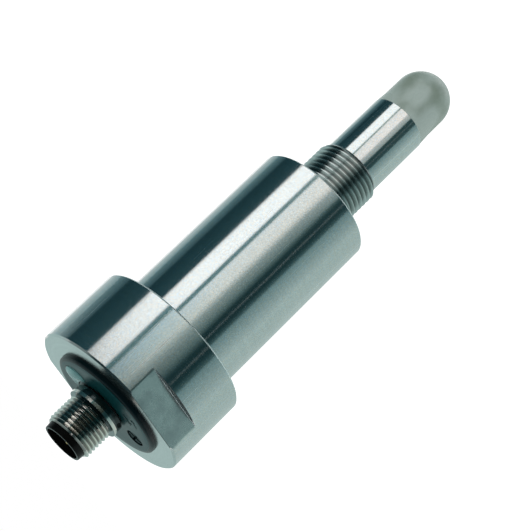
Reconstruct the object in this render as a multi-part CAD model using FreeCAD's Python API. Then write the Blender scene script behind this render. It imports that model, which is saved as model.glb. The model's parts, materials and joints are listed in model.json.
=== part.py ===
import FreeCAD, Part
import math
import os

from FreeCAD import Vector

# Capacitive probe sensor that screws into a vessel wall.
# The origin is on the axis, on the front face of the body, which seals on the vessel.
# +Z runs up the axis to the plug connector, and the sensing cap points down.
# The two wrench flats face +X and -X. All sizes are millimetres and degrees.

# Housing, turned from one bar of stainless steel
head_radius = 20.0
head_length = 20.0
body_radius = 15.0
body_length = 47.5
housing_edge = 0.4
thread_radius = 8.33
thread_length = 13.0
thread_run_out = 0.6
tube_radius = 7.4
tube_length = 17.2
wrench_width = 36.0
wrench_length = 7.4
tube_bore_radius = 6.4
body_bore_radius = 12.5
front_wall = 4.0
end_bore_radius = 14.3
end_bore_depth = 6.0

# Sensing cap, turned from one plastic rod, with a spigot that plugs into the tube
cap_length = 15.8
cap_radius = 7.1
cap_step = 0.08
cap_taper_length = 3.5
cap_wall = 2.3
spigot_length = 8.0
spigot_edge = 0.5
cap_groove_height = 3.2

# Seal rings of round section, squeezed into square grooves
probe_ring_section = 0.9
end_ring_section = 1.0
groove_side_gap = 0.2

# Electrodes and their holder, inside the sensing cap
electrode_wall = 0.5
electrode_skirt = 4.0
electrode_gap = 1.2
guard_length = 11.0
guard_end_wall = 0.5
guard_eye_radius = 1.5
holder_nose_length = 2.6
lead_radius = 0.5
lead_clearance = 0.1
guard_lead_offset = 2.6

# Main circuit board and the carrier that centres it on the floor of the body
carrier_height = 6.0
board_seat_height = 4.0
board_width = 20.0
board_thickness = 1.6

# Round rear board, clamped between the housing's ledge and the end cap's skirt
rear_board_thickness = 1.2
rear_board_clearance = 0.1

# Pin header that joins the two boards at a right angle
header_width = 12.0
header_depth = 2.5
header_height = 2.5

# End cap, moulded plastic, with a raised flat top
cap_rim_rise = 0.6
cap_top_rise = 1.3
cap_top_radius = 12.0
cap_ceiling = 2.5
skirt_wall = 2.0
end_groove_height = 2.2

# Plug connector, a little off the housing's axis
connector_offset = 0.7
connector_angle = 120.4
flange_gap = 0.6
step_radius = 6.6
step_height = 1.5
flange_radius = 6.75
flange_height = 0.9
flange_edge = 0.2
neck_radius = 5.35
neck_height = 0.3
plug_thread_radius = 6.0
plug_thread_length = 7.4
plug_thread_edge = 0.4
shell_bore_radius = 4.9
plug_spigot_radius = 5.2
plug_spigot_bore_radius = 4.2
plug_spigot_below_cap = 1.6
retainer_thickness = 0.5
retainer_radius = 5.7
retainer_groove_depth = 0.35
flange_ring_section = 0.6

# Plastic insert of the connector, its key and its contact pins
collar_radius = 5.15
collar_mouth_radius = 5.0
collar_height = 1.6
cup_radius = 4.4
cup_depth = 8.8
key_width = 1.0
key_depth = 0.6
key_below_mouth = 0.8
pin_count = 4
pin_radius = 0.5
pin_circle_radius = 2.5
pin_first_angle = 45.0
pin_tip_below_mouth = 1.2
pin_tip_edge = 0.2

# Status lamp and its lens
lens_radius = 3.3
lens_circle_radius = 8.95
lens_angle = 114.0
lens_rise = 0.7
lens_seat_depth = 1.0
lens_edge = 0.45
lens_flange_clearance = 0.25
lens_stem_radius = 2.2
lamp_size = 3.0
lamp_height = 1.9
lamp_clearance = 0.3

# Sensitivity trimmer: its body on the rear board and the screw in the end cap
trimmer_circle_radius = 9.5
trimmer_angle = -58.5
trimmer_size = 4.6
trimmer_height = 3.0
trimmer_bore_depth = 2.0
trimmer_pocket_radius = 2.3
trimmer_pocket_depth = 1.2
screw_head_radius = 2.05
screw_head_height = 0.8
screw_head_gap = 0.2
screw_shaft_radius = 1.2
screw_end_gap = 0.3
screw_running_clearance = 0.05
screw_slot_width = 0.55
screw_slot_depth = 0.45

# Parts soldered on the main board. The oscillator keeps its height above the board's lower
# edge, near the electrodes, and every other part its distance below the board's upper edge.
chip_width = 3.9
chip_length = 4.9
chip_height = 1.5
chip_standoff = 0.15
chip_lead_pitch = 1.27
chip_lead_width = 0.42
chip_lead_reach = 1.05
chip_lead_thickness = 0.2
oscillator_above_edge = 8.0
comparator_below_edge = 32.5
regulator_below_edge = 20.5
regulator_width = 4.5
regulator_length = 2.5
regulator_thickness = 1.5
regulator_tab_length = 1.0
driver_below_edge = 10.5
driver_width = 6.5
driver_length = 6.1
driver_thickness = 2.3
driver_tab_thickness = 0.5
driver_tab_length = 1.2
driver_tab_inset = 0.5
choke_below_edge = 16.5
choke_size = 6.0
choke_base_height = 0.8
choke_total_height = 3.0
choke_can_radius = 2.8
tantalum_below_edge = 29.5
tantalum_width = 4.3
tantalum_length = 7.3
tantalum_thickness = 2.8
diode_below_edge = 7.0
diode_width = 4.3
diode_length = 2.6
diode_thickness = 2.1
small_part_offset = 7.5
small_part_first_above_edge = 9.0
small_part_last_below_edge = 6.0
capacitor_rows = 4
capacitor_width = 1.6
capacitor_thickness = 1.2
capacitor_length = 3.2
resistor_rows = 4
resistor_width = 1.25
resistor_thickness = 0.5
resistor_length = 2.0

# Levels along the axis that several pieces share
back_face = body_length + head_length
ledge = back_face - end_bore_depth
thread_end = -thread_length
seam = -(thread_length + tube_length)
cap_tip = seam - cap_length
dome_centre = cap_tip + cap_radius
cap_bore_radius = cap_radius - cap_wall
spigot_top = seam + spigot_length
board_bottom = front_wall + board_seat_height
rear_board_top = ledge + rear_board_thickness
cap_rim = back_face + cap_rim_rise
cap_top = back_face + cap_top_rise
ceiling = cap_top - cap_ceiling
skirt_bore_radius = end_bore_radius - skirt_wall
step_bottom = cap_top + flange_gap
flange_bottom = step_bottom + step_height
flange_top = flange_bottom + flange_height
plug_thread_bottom = flange_top + neck_height
shell_top = plug_thread_bottom + plug_thread_length
mouth = shell_top + collar_height
cup_floor = mouth - cup_depth
plug_spigot_bottom = ceiling - plug_spigot_below_cap
lens_seat = cap_top - lens_seat_depth
pocket_floor = cap_top - trimmer_pocket_depth
screw_head_bottom = pocket_floor + screw_head_gap
trimmer_top = rear_board_top + trimmer_height


def polar(radius, angle, z=0.0):
    """Point at a radius and an angle round the axis."""
    turn = math.radians(angle)
    return Vector(radius * math.cos(turn), radius * math.sin(turn), z)


plug_axis = polar(connector_offset, connector_angle)
lens_axis = polar(lens_circle_radius, lens_angle)
trimmer_axis = polar(trimmer_circle_radius, trimmer_angle)


def save(node, shape):
    """Write one node's solid."""
    os.makedirs("parts", exist_ok=True)
    shape.exportStep("parts/" + node + ".step")


def rod(radius, bottom, top, axis=Vector(0, 0, 0)):
    """Upright cylinder between two levels."""
    return Part.makeCylinder(radius, top - bottom, Vector(axis.x, axis.y, bottom))


def block(width, depth, bottom, top, axis=Vector(0, 0, 0)):
    """Upright box centred on an axis, between two levels."""
    corner = Vector(axis.x - width / 2, axis.y - depth / 2, bottom)
    return Part.makeBox(width, depth, top - bottom, corner)


def turned(corners, axis=Vector(0, 0, 0)):
    """Solid turned from a closed outline of (radius, height) corners."""
    points = [Vector(radius, 0, height) for radius, height in corners]
    outline = Part.makePolygon(points + [points[0]])
    solid = Part.Face(outline).revolve(Vector(0, 0, 0), Vector(0, 0, 1), 360)
    solid.translate(axis)
    return solid


def seal_ring(section, middle_radius, height, axis=Vector(0, 0, 0)):
    """Ring of round section, lying flat at a height."""
    return Part.makeTorus(middle_radius, section / 2, Vector(axis.x, axis.y, height))


def ring_groove(outer_radius, section, height):
    """Cutter for the square groove that a seal ring sits in, seen from outside."""
    half = (section + groove_side_gap) / 2
    cutter = rod(outer_radius + section, height - half, height + half)
    return cutter.cut(rod(outer_radius - section, height - half, height + half))


def downward_dome(radius, centre_height):
    """Lower half of a ball on the axis, for the rounded end of a cap or thimble."""
    centre = Vector(0, 0, centre_height)
    return Part.makeSphere(radius, centre, Vector(0, 0, 1), -90, 0, 360)


def housing():
    """Head, body, process thread and probe tube, with the stepped bore through them."""
    edge = housing_edge
    outside = [
        (0, back_face),
        (head_radius - edge, back_face),
        (head_radius, back_face - edge),
        (head_radius, body_length + edge),
        (head_radius - edge, body_length),
        (body_radius, body_length),
        (body_radius, edge),
        (body_radius - edge, 0),
        (thread_radius, 0),
        (thread_radius, thread_end + thread_run_out),
        (tube_radius, thread_end),
        (tube_radius, seam),
        (0, seam),
    ]
    solid = turned(outside)
    solid = solid.cut(rod(tube_bore_radius, seam, front_wall))
    solid = solid.cut(rod(body_bore_radius, front_wall, ledge))
    solid = solid.cut(rod(end_bore_radius, ledge, back_face))
    flat_bottom = back_face - wrench_length
    for side in (-1, 1):
        middle = side * (wrench_width / 2 + head_radius / 2)
        cutter = block(head_radius, 2 * head_radius, flat_bottom, back_face, Vector(middle, 0, 0))
        solid = solid.cut(cutter)
    return solid


def sensing_cap():
    """Domed cup that closes the tube, with the seal groove round its spigot."""
    outside = [
        (0, dome_centre),
        (cap_radius, dome_centre),
        (cap_radius, seam - cap_taper_length),
        (tube_radius - cap_step, seam),
        (tube_bore_radius, seam),
        (tube_bore_radius, spigot_top - spigot_edge),
        (tube_bore_radius - spigot_edge, spigot_top),
        (0, spigot_top),
    ]
    solid = turned(outside).fuse(downward_dome(cap_radius, dome_centre)).removeSplitter()
    hollow = rod(cap_bore_radius, dome_centre, spigot_top)
    hollow = hollow.fuse(downward_dome(cap_bore_radius, dome_centre))
    solid = solid.cut(hollow)
    return solid.cut(ring_groove(tube_bore_radius, probe_ring_section, seam + cap_groove_height))


def cap_seal_ring():
    """Ring that seals the sensing cap's spigot in the tube."""
    middle = tube_bore_radius - probe_ring_section / 2
    return seal_ring(probe_ring_section, middle, seam + cap_groove_height)


def active_electrode():
    """Thin metal thimble that fits the inside of the cap's dome."""
    top = dome_centre + electrode_skirt
    inner = cap_bore_radius - electrode_wall
    solid = rod(cap_bore_radius, dome_centre, top).fuse(downward_dome(cap_bore_radius, dome_centre))
    hollow = rod(inner, dome_centre, top).fuse(downward_dome(inner, dome_centre))
    return solid.removeSplitter().cut(hollow)


def guard_levels():
    """Lower and upper end of the guard electrode."""
    bottom = dome_centre + electrode_skirt + electrode_gap
    return bottom, bottom + guard_length


def guard_electrode():
    """Metal sleeve behind the active electrode, closed but for an eye for the lead."""
    bottom, top = guard_levels()
    inner = cap_bore_radius - electrode_wall
    solid = rod(cap_bore_radius, bottom, top).cut(rod(inner, bottom, top - guard_end_wall))
    return solid.cut(rod(guard_eye_radius, bottom, top))


def electrode_holder():
    """Plastic core that keeps both electrodes apart and carries the lead."""
    bottom, top = guard_levels()
    inner = cap_bore_radius - electrode_wall
    nose = dome_centre + electrode_skirt
    outside = [
        (0, nose - holder_nose_length),
        (inner, nose - holder_nose_length),
        (inner, nose),
        (cap_bore_radius, nose),
        (cap_bore_radius, bottom),
        (inner, bottom),
        (inner, top - guard_end_wall),
        (0, top - guard_end_wall),
    ]
    bore = rod(lead_radius + lead_clearance, nose - holder_nose_length, top)
    return turned(outside).cut(bore)


def electrode_lead():
    """Wire from the inside of the thimble's tip to the edge of the main board."""
    inner = cap_bore_radius - electrode_wall
    start = dome_centre - math.sqrt(inner**2 - lead_radius**2)
    return rod(lead_radius, start, board_bottom)


def guard_lead():
    """Wire from the guard electrode's end wall to the edge of the main board."""
    top = guard_levels()[1]
    return rod(lead_radius, top, board_bottom, Vector(guard_lead_offset, 0, 0))


def board_carrier():
    """Moulded ring on the floor of the body, slotted for the main board."""
    top = front_wall + carrier_height
    solid = rod(body_bore_radius, front_wall, top).cut(rod(tube_bore_radius, front_wall, top))
    return solid.cut(block(board_width, board_thickness, board_bottom, top))


def circuit_board():
    """Long main board along the axis, up to the underside of the rear board."""
    return block(board_width, board_thickness, board_bottom, ledge)


def front_side():
    """Distance from the axis to the main board's front face."""
    return board_thickness / 2


def board_header():
    """Pin header in the corner between the two boards."""
    middle = Vector(0, front_side() + header_depth / 2, 0)
    return block(header_width, header_depth, ledge - header_height, ledge, middle)


def board_chip(bottom):
    """Moulded chip with four leads a side, on the main board's front face."""
    face = front_side()
    depth = chip_height - chip_standoff
    middle = Vector(0, face + chip_standoff + depth / 2, 0)
    solid = block(chip_width, depth, bottom, bottom + chip_length, middle)
    reach = chip_width / 2 + chip_lead_reach
    first = bottom + chip_length / 2 - 1.5 * chip_lead_pitch - chip_lead_width / 2
    for row in range(4):
        low = first + row * chip_lead_pitch
        high = low + chip_lead_width
        foot = Vector(0, face + chip_lead_thickness / 2, 0)
        feet = block(2 * reach, chip_lead_thickness, low, high, foot)
        feet = feet.cut(block(chip_width + chip_lead_reach, chip_lead_thickness, low, high, foot))
        rise = Vector(0, face + chip_height / 4, 0)
        legs = block(chip_width + chip_lead_reach, chip_height / 2, low, high, rise)
        legs = legs.cut(block(chip_width, chip_height / 2, low, high, rise))
        inner_width = chip_width + chip_lead_reach - 2 * chip_lead_thickness
        under = Vector(0, face + chip_height / 4 - chip_lead_thickness, 0)
        legs = legs.cut(block(inner_width, chip_height / 2, low, high, under))
        solid = solid.fuse([feet, legs])
    return solid.removeSplitter()


def voltage_regulator():
    """Small power package with a tab along one edge."""
    bottom = ledge - regulator_below_edge
    middle = Vector(0, front_side() + regulator_thickness / 2, 0)
    body = block(regulator_width, regulator_thickness, bottom, bottom + regulator_length, middle)
    foot = Vector(0, front_side() + chip_lead_thickness / 2, 0)
    tab_top = bottom + regulator_length + regulator_tab_length
    tab = block(regulator_width / 2, chip_lead_thickness, bottom - regulator_tab_length, tab_top, foot)
    return body.fuse(tab).removeSplitter()


def output_driver():
    """Switching transistor with its cooling tab on the main board's front face."""
    bottom = ledge - driver_below_edge
    middle = Vector(0, front_side() + driver_thickness / 2, 0)
    body = block(driver_width, driver_thickness, bottom, bottom + driver_length, middle)
    foot = Vector(0, front_side() + driver_tab_thickness / 2, 0)
    top = bottom + driver_length
    tab_width = driver_width - 2 * driver_tab_inset
    tab = block(tab_width, driver_tab_thickness, top, top + driver_tab_length, foot)
    return body.fuse(tab).removeSplitter()


def supply_choke():
    """Round wound choke on a square base, on the main board's back face."""
    middle_height = ledge - choke_below_edge
    half = choke_size / 2
    back = -front_side()
    base_middle = Vector(0, back - choke_base_height / 2, 0)
    base = block(choke_size, choke_base_height, middle_height - half, middle_height + half, base_middle)
    start = Vector(0, back - choke_base_height, middle_height)
    can_height = choke_total_height - choke_base_height
    can = Part.makeCylinder(choke_can_radius, can_height, start, Vector(0, -1, 0))
    return base.fuse(can).removeSplitter()


def back_block(width, thickness, length, bottom):
    """Plain moulded part on the main board's back face."""
    middle = Vector(0, -front_side() - thickness / 2, 0)
    return block(width, thickness, bottom, bottom + length, middle)


def storage_capacitor():
    """Moulded tantalum block on the back face."""
    bottom = ledge - tantalum_below_edge
    return back_block(tantalum_width, tantalum_thickness, tantalum_length, bottom)


def protection_diode():
    """Diode against reversed supply, on the back face."""
    bottom = ledge - diode_below_edge
    return back_block(diode_width, diode_thickness, diode_length, bottom)


def small_parts(width, thickness, length, rows):
    """Small two-ended parts down both sides of the front face, in the given rows."""
    first = board_bottom + small_part_first_above_edge
    last = ledge - small_part_last_below_edge
    pitch = (last - first) / (capacitor_rows + resistor_rows - 1)
    solids = []
    for column in (-small_part_offset, small_part_offset):
        for row in rows:
            bottom = first + row * pitch
            middle = Vector(column, front_side() + thickness / 2, 0)
            solids.append(block(width, thickness, bottom, bottom + length, middle))
    return Part.makeCompound(solids)


def chip_capacitors():
    """Ceramic capacitors, in the lower rows."""
    rows = range(capacitor_rows)
    return small_parts(capacitor_width, capacitor_thickness, capacitor_length, rows)


def chip_resistors():
    """Resistors, in the upper rows."""
    rows = range(capacitor_rows, capacitor_rows + resistor_rows)
    return small_parts(resistor_width, resistor_thickness, resistor_length, rows)


def rear_board():
    """Round board on the housing's ledge; the contact pins are soldered to it."""
    return rod(end_bore_radius - rear_board_clearance, ledge, rear_board_top)


def status_lamp():
    """Light-emitting part under the lens: a block with a low round top."""
    shoulder = rear_board_top + lamp_height / 2
    base = block(lamp_size, lamp_size, rear_board_top, shoulder, lens_axis)
    base.rotate(lens_axis, Vector(0, 0, 1), lens_angle)
    top = rod(lamp_size / 2, shoulder, rear_board_top + lamp_height, lens_axis)
    return base.fuse(top).removeSplitter()


def lens_head(top):
    """Round head of the lens, cut back round the connector's flange."""
    head = rod(lens_radius, lens_seat, top, lens_axis)
    relief = rod(flange_radius + lens_flange_clearance, lens_seat, top, plug_axis)
    return head.cut(relief)


def lens_stem(bottom):
    """Light guide that carries the lamp's light up to the lens head."""
    return rod(lens_stem_radius, bottom, lens_seat, lens_axis)


def lamp_lens():
    """Clear lens with its light guide, its top edge rounded over."""
    top = cap_top + lens_rise
    head = lens_head(top)
    rim = [edge for edge in head.Edges if edge.BoundBox.ZMin > top - lens_edge]
    head = head.makeFillet(lens_edge, rim)
    return head.fuse(lens_stem(rear_board_top + lamp_height + lamp_clearance)).removeSplitter()


def cap_outline():
    """Closed outline of the end cap's body, its shoulder one quarter of an oval."""
    rim = Vector(end_bore_radius, 0, cap_rim)
    crown = Vector(cap_top_radius, 0, cap_top)
    oval = Part.Ellipse(rim, crown, Vector(cap_top_radius, 0, cap_rim))
    foot = Vector(end_bore_radius, 0, rear_board_top)
    inner_foot = Vector(skirt_bore_radius, 0, rear_board_top)
    inner_top = Vector(skirt_bore_radius, 0, ceiling)
    corners = [crown, Vector(0, 0, cap_top), Vector(0, 0, ceiling), inner_top, inner_foot, foot, rim]
    shoulder = Part.Arc(oval, 0, math.pi / 2).toShape()
    straight = [Part.makeLine(corners[i], corners[i + 1]) for i in range(len(corners) - 1)]
    return Part.Wire(straight + [shoulder])


def end_cap():
    """Moulded cap that closes the head and carries lens, trimmer screw and connector."""
    solid = Part.Face(cap_outline()).revolve(Vector(0, 0, 0), Vector(0, 0, 1), 360)
    solid = solid.cut(ring_groove(end_bore_radius, end_ring_section, rear_board_top + end_groove_height))
    solid = solid.cut(rod(plug_spigot_radius, ceiling, cap_top, plug_axis))
    solid = solid.cut(lens_head(cap_top + lens_rise))
    solid = solid.cut(lens_stem(ceiling))
    solid = solid.cut(rod(trimmer_pocket_radius, pocket_floor, cap_top, trimmer_axis))
    shaft_hole = screw_shaft_radius + screw_running_clearance
    return solid.cut(rod(shaft_hole, ceiling, cap_top, trimmer_axis))


def end_cap_seal():
    """Ring that seals the end cap in the head."""
    middle = end_bore_radius - end_ring_section / 2
    return seal_ring(end_ring_section, middle, rear_board_top + end_groove_height)


def trimmer_body():
    """Square body of the trimmer, with the bore that its screw turns in."""
    solid = block(trimmer_size, trimmer_size, rear_board_top, trimmer_top, trimmer_axis)
    bore = screw_shaft_radius + screw_running_clearance
    solid = solid.cut(rod(bore, trimmer_top - trimmer_bore_depth, trimmer_top, trimmer_axis))
    solid.rotate(trimmer_axis, Vector(0, 0, 1), trimmer_angle)
    return solid


def trimmer_screw():
    """Adjusting screw: a cross-slotted head in the cap's pocket, on a plain shaft."""
    head_top = screw_head_bottom + screw_head_height
    shaft_end = trimmer_top - trimmer_bore_depth + screw_end_gap
    solid = rod(screw_head_radius, screw_head_bottom, head_top, trimmer_axis)
    solid = solid.fuse(rod(screw_shaft_radius, shaft_end, screw_head_bottom, trimmer_axis))
    slot_floor = head_top - screw_slot_depth
    across = 2 * screw_head_radius
    for angle in (0, 90):
        slot = block(across, screw_slot_width, slot_floor, head_top, trimmer_axis)
        slot.rotate(trimmer_axis, Vector(0, 0, 1), trimmer_angle + angle)
        solid = solid.cut(slot)
    return solid.removeSplitter()


def connector_shell():
    """Metal shell of the connector: spigot, stepped flange, neck and thread."""
    edge = plug_thread_edge
    groove_bottom = ceiling - retainer_thickness
    groove_radius = plug_spigot_radius - retainer_groove_depth
    outline = [
        (plug_spigot_bore_radius, plug_spigot_bottom),
        (plug_spigot_radius, plug_spigot_bottom),
        (plug_spigot_radius, groove_bottom),
        (groove_radius, groove_bottom),
        (groove_radius, ceiling),
        (plug_spigot_radius, ceiling),
        (plug_spigot_radius, step_bottom),
        (step_radius, step_bottom),
        (step_radius, flange_bottom),
        (flange_radius, flange_bottom),
        (flange_radius, flange_top - flange_edge),
        (flange_radius - flange_edge, flange_top),
        (neck_radius, flange_top),
        (neck_radius, plug_thread_bottom),
        (plug_thread_radius - edge, plug_thread_bottom),
        (plug_thread_radius, plug_thread_bottom + edge),
        (plug_thread_radius, shell_top - edge),
        (plug_thread_radius - edge, shell_top),
        (shell_bore_radius, shell_top),
        (shell_bore_radius, step_bottom),
        (plug_spigot_bore_radius, step_bottom),
    ]
    return turned(outline, plug_axis)


def connector_retainer():
    """Snap ring that holds the connector's spigot under the end cap, open at one side."""
    inner = plug_spigot_radius - retainer_groove_depth
    bottom = ceiling - retainer_thickness
    ring = rod(retainer_radius, bottom, ceiling, plug_axis).cut(rod(inner, bottom, ceiling, plug_axis))
    gap = block(2 * retainer_radius, retainer_radius, bottom, ceiling)
    gap.translate(Vector(retainer_radius, 0, 0))
    gap.rotate(Vector(0, 0, 0), Vector(0, 0, 1), trimmer_angle)
    gap.translate(plug_axis)
    return ring.cut(gap)


def flange_seal():
    """Ring between the end cap and the connector's flange."""
    middle = plug_spigot_radius + flange_ring_section / 2
    return seal_ring(flange_ring_section, middle, cap_top + flange_gap / 2, plug_axis)


def pin_axes():
    """Axes of the contact pins, evenly spaced round the connector's axis."""
    step = 360.0 / pin_count
    places = [polar(pin_circle_radius, pin_first_angle + i * step) for i in range(pin_count)]
    return [plug_axis + place for place in places]


def connector_insert():
    """Plastic insert: a plug through the shell and a keyed cup that stands past it."""
    outline = [
        (0, plug_spigot_bottom),
        (plug_spigot_bore_radius, plug_spigot_bottom),
        (plug_spigot_bore_radius, step_bottom),
        (shell_bore_radius, step_bottom),
        (shell_bore_radius, shell_top),
        (collar_radius, shell_top),
        (collar_mouth_radius, mouth),
        (cup_radius, mouth),
        (cup_radius, cup_floor),
        (0, cup_floor),
    ]
    solid = turned(outline, plug_axis)
    key_top = mouth - key_below_mouth
    key = block(2 * key_depth, key_width, cup_floor, key_top, Vector(cup_radius, 0, 0))
    key = key.common(rod(cup_radius, cup_floor, key_top))
    key.rotate(Vector(0, 0, 0), Vector(0, 0, 1), pin_first_angle + 180.0 / pin_count)
    key.translate(plug_axis)
    solid = solid.fuse(key)
    for axis in pin_axes():
        solid = solid.cut(rod(pin_radius, plug_spigot_bottom, cup_floor, axis))
    return solid.removeSplitter()


def contact_pin(axis):
    """Contact pin from the rear board to just inside the cup's mouth."""
    top = mouth - pin_tip_below_mouth
    outline = [
        (0, rear_board_top),
        (pin_radius, rear_board_top),
        (pin_radius, top - pin_tip_edge),
        (pin_radius - pin_tip_edge, top),
        (0, top),
    ]
    return turned(outline, axis)


def build():
    """Write every node, one file each."""
    save("housing", housing())
    save("sensing_cap", sensing_cap())
    save("cap_seal_ring", cap_seal_ring())
    save("active_electrode", active_electrode())
    save("guard_electrode", guard_electrode())
    save("electrode_holder", electrode_holder())
    save("electrode_lead", electrode_lead())
    save("guard_lead", guard_lead())
    save("board_carrier", board_carrier())
    save("circuit_board", circuit_board())
    save("board_header", board_header())
    save("oscillator_chip", board_chip(board_bottom + oscillator_above_edge))
    save("comparator_chip", board_chip(ledge - comparator_below_edge))
    save("voltage_regulator", voltage_regulator())
    save("output_driver", output_driver())
    save("supply_choke", supply_choke())
    save("storage_capacitor", storage_capacitor())
    save("protection_diode", protection_diode())
    save("chip_capacitors", chip_capacitors())
    save("chip_resistors", chip_resistors())
    save("rear_board", rear_board())
    save("status_lamp", status_lamp())
    save("lamp_lens", lamp_lens())
    save("end_cap", end_cap())
    save("end_cap_seal", end_cap_seal())
    save("trimmer_body", trimmer_body())
    save("trimmer_screw", trimmer_screw())
    save("connector_shell", connector_shell())
    save("connector_retainer", connector_retainer())
    save("flange_seal", flange_seal())
    save("connector_insert", connector_insert())
    for number, axis in enumerate(pin_axes(), start=1):
        save("contact_pin_" + str(number), contact_pin(axis))


build()
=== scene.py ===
"""Looks of a capacitive probe sensor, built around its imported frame."""

import json
import logging
import math
from collections.abc import Callable, Iterable, Sequence
from dataclasses import dataclass, field
from enum import Enum

import bmesh
import bpy
from mathutils import Matrix, Vector
from mathutils.geometry import tessellate_polygon


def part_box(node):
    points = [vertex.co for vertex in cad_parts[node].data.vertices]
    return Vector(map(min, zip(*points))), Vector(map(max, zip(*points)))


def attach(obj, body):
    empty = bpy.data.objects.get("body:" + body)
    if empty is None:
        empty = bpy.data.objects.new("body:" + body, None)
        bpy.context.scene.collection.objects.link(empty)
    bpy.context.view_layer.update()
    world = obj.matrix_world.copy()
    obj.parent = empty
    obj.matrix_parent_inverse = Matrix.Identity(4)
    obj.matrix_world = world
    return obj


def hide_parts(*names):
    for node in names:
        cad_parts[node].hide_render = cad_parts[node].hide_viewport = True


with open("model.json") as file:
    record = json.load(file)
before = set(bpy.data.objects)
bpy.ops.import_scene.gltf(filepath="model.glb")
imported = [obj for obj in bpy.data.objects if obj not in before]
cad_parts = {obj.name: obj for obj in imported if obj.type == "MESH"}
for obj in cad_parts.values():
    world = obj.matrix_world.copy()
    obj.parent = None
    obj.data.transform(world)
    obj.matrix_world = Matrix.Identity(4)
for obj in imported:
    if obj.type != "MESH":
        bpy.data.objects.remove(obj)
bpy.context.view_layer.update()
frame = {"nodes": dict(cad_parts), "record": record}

log = logging.getLogger("probe_sensor")

Colour = tuple[float, float, float]
Outline = list[tuple[float, float]]
Loop = list[Vector]

Socket = bpy.types.NodeSocket

MM = 0.001
BODY = "sensor_body"
ROTOR = "trimmer_rotor"

# Points that are nearer than this become one
MERGE_DISTANCE = 0.0002 * MM
# Distance of the extra points that keep the long faces beside a rounding flat
SUPPORT = 0.02 * MM
# Corners that turn less than this aren't rounded
SHALLOW_BEND = math.radians(12)
# Share of an edge that the rounding at one of its ends may take
CORNER_SHARE = 0.4
# Angle between faces above which an edge is drawn sharp, on most pieces and on small round ones
SHARP_ANGLE = math.radians(20)
SOFT_ANGLE = math.radians(40)

HOUSING_SEGMENTS = 160
PLUG_SEGMENTS = 96
POCKET_SEGMENTS = 48
THREAD_ROWS = 16
THREAD_FLAT_SHARE = 0.125
THREAD_MERGE = 5 * MERGE_DISTANCE
BUMP_STRENGTH = 0.6

WHITE: Colour = (1.0, 1.0, 1.0)
FLAG: Colour = (0.02, 0.04, 0.045)


# Shapes

def ring_point(radius: float, angle: float, height: float, centre: Vector = Vector()) -> Vector:
    """Point at a radius and an angle in radians round an upright axis."""
    return Vector((centre.x + radius * math.cos(angle), centre.y + radius * math.sin(angle), height))


def polar(radius: float, degrees: float) -> Vector:
    """Point on the level plane at a radius and an angle in degrees."""
    return ring_point(radius, math.radians(degrees), 0.0)


def circle(centre: Vector, radius: float, height: float, segments: int) -> Loop:
    """Loop of points round an upright axis, counter-clockwise."""
    return [ring_point(radius, 2 * math.pi * i / segments, height, centre) for i in range(segments)]


def rounded(outline: Outline, radius: float, steps: int = 4) -> Outline:
    """Rounds the corners of a closed outline.

    Args:
        outline: Corners as (radius, height); corners on the axis and shallow bends stay.
        radius: Rounding wanted at each corner, made smaller where an edge is too short.
        steps: Straight pieces in each rounding.

    Returns:
        The rounded outline, with a support point beside each rounding that keeps long
        faces flat under smooth shading.
    """
    result: Outline = []
    count = len(outline)
    for i, corner in enumerate(outline):
        here = Vector(corner)
        before, after = Vector(outline[i - 1]) - here, Vector(outline[(i + 1) % count]) - here
        turn = math.pi - before.angle(after, math.pi)
        if corner[0] < MERGE_DISTANCE or turn < SHALLOW_BEND:
            result.append(corner)
            continue
        cut = min(radius * math.tan(turn / 2), CORNER_SHARE * min(before.length, after.length))
        bend = cut / math.tan(turn / 2)
        back, onward = before.normalized(), after.normalized()
        middle = here + (back + onward).normalized() * math.hypot(cut, bend)
        start, end = here + back * cut, here + onward * cut
        long_edge = 4 * SUPPORT + 2 * cut
        if before.length > long_edge:
            result.append(tuple(start + back * SUPPORT))
        first, last = start - middle, end - middle
        for step in range(steps + 1):
            arm = first.lerp(last, step / steps).normalized() * bend
            result.append(tuple(middle + arm))
        if after.length > long_edge:
            result.append(tuple(end + onward * SUPPORT))
    return result


def raised(loop: Loop, share: float, height: float) -> Loop:
    """Loop drawn in towards its middle and set at another height.

    Args:
        loop: The loop to copy.
        share: Size of the new loop, where 1 is the old size.
        height: Height of the new loop.

    Returns:
        The new loop, with as many points.
    """
    middle = sum(loop, Vector()) / len(loop)
    return [Vector((*(middle + (point - middle) * share).xy, height)) for point in loop]


def added(name: str, data: bpy.types.Mesh | bpy.types.Light | bpy.types.Camera) -> bpy.types.Object:
    """Adds an object to the scene.

    Args:
        name: Name of the object.
        data: What the object shows.

    Returns:
        The object, at the origin.
    """
    made = bpy.data.objects.new(name, data)
    bpy.context.scene.collection.objects.link(made)
    return made


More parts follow.
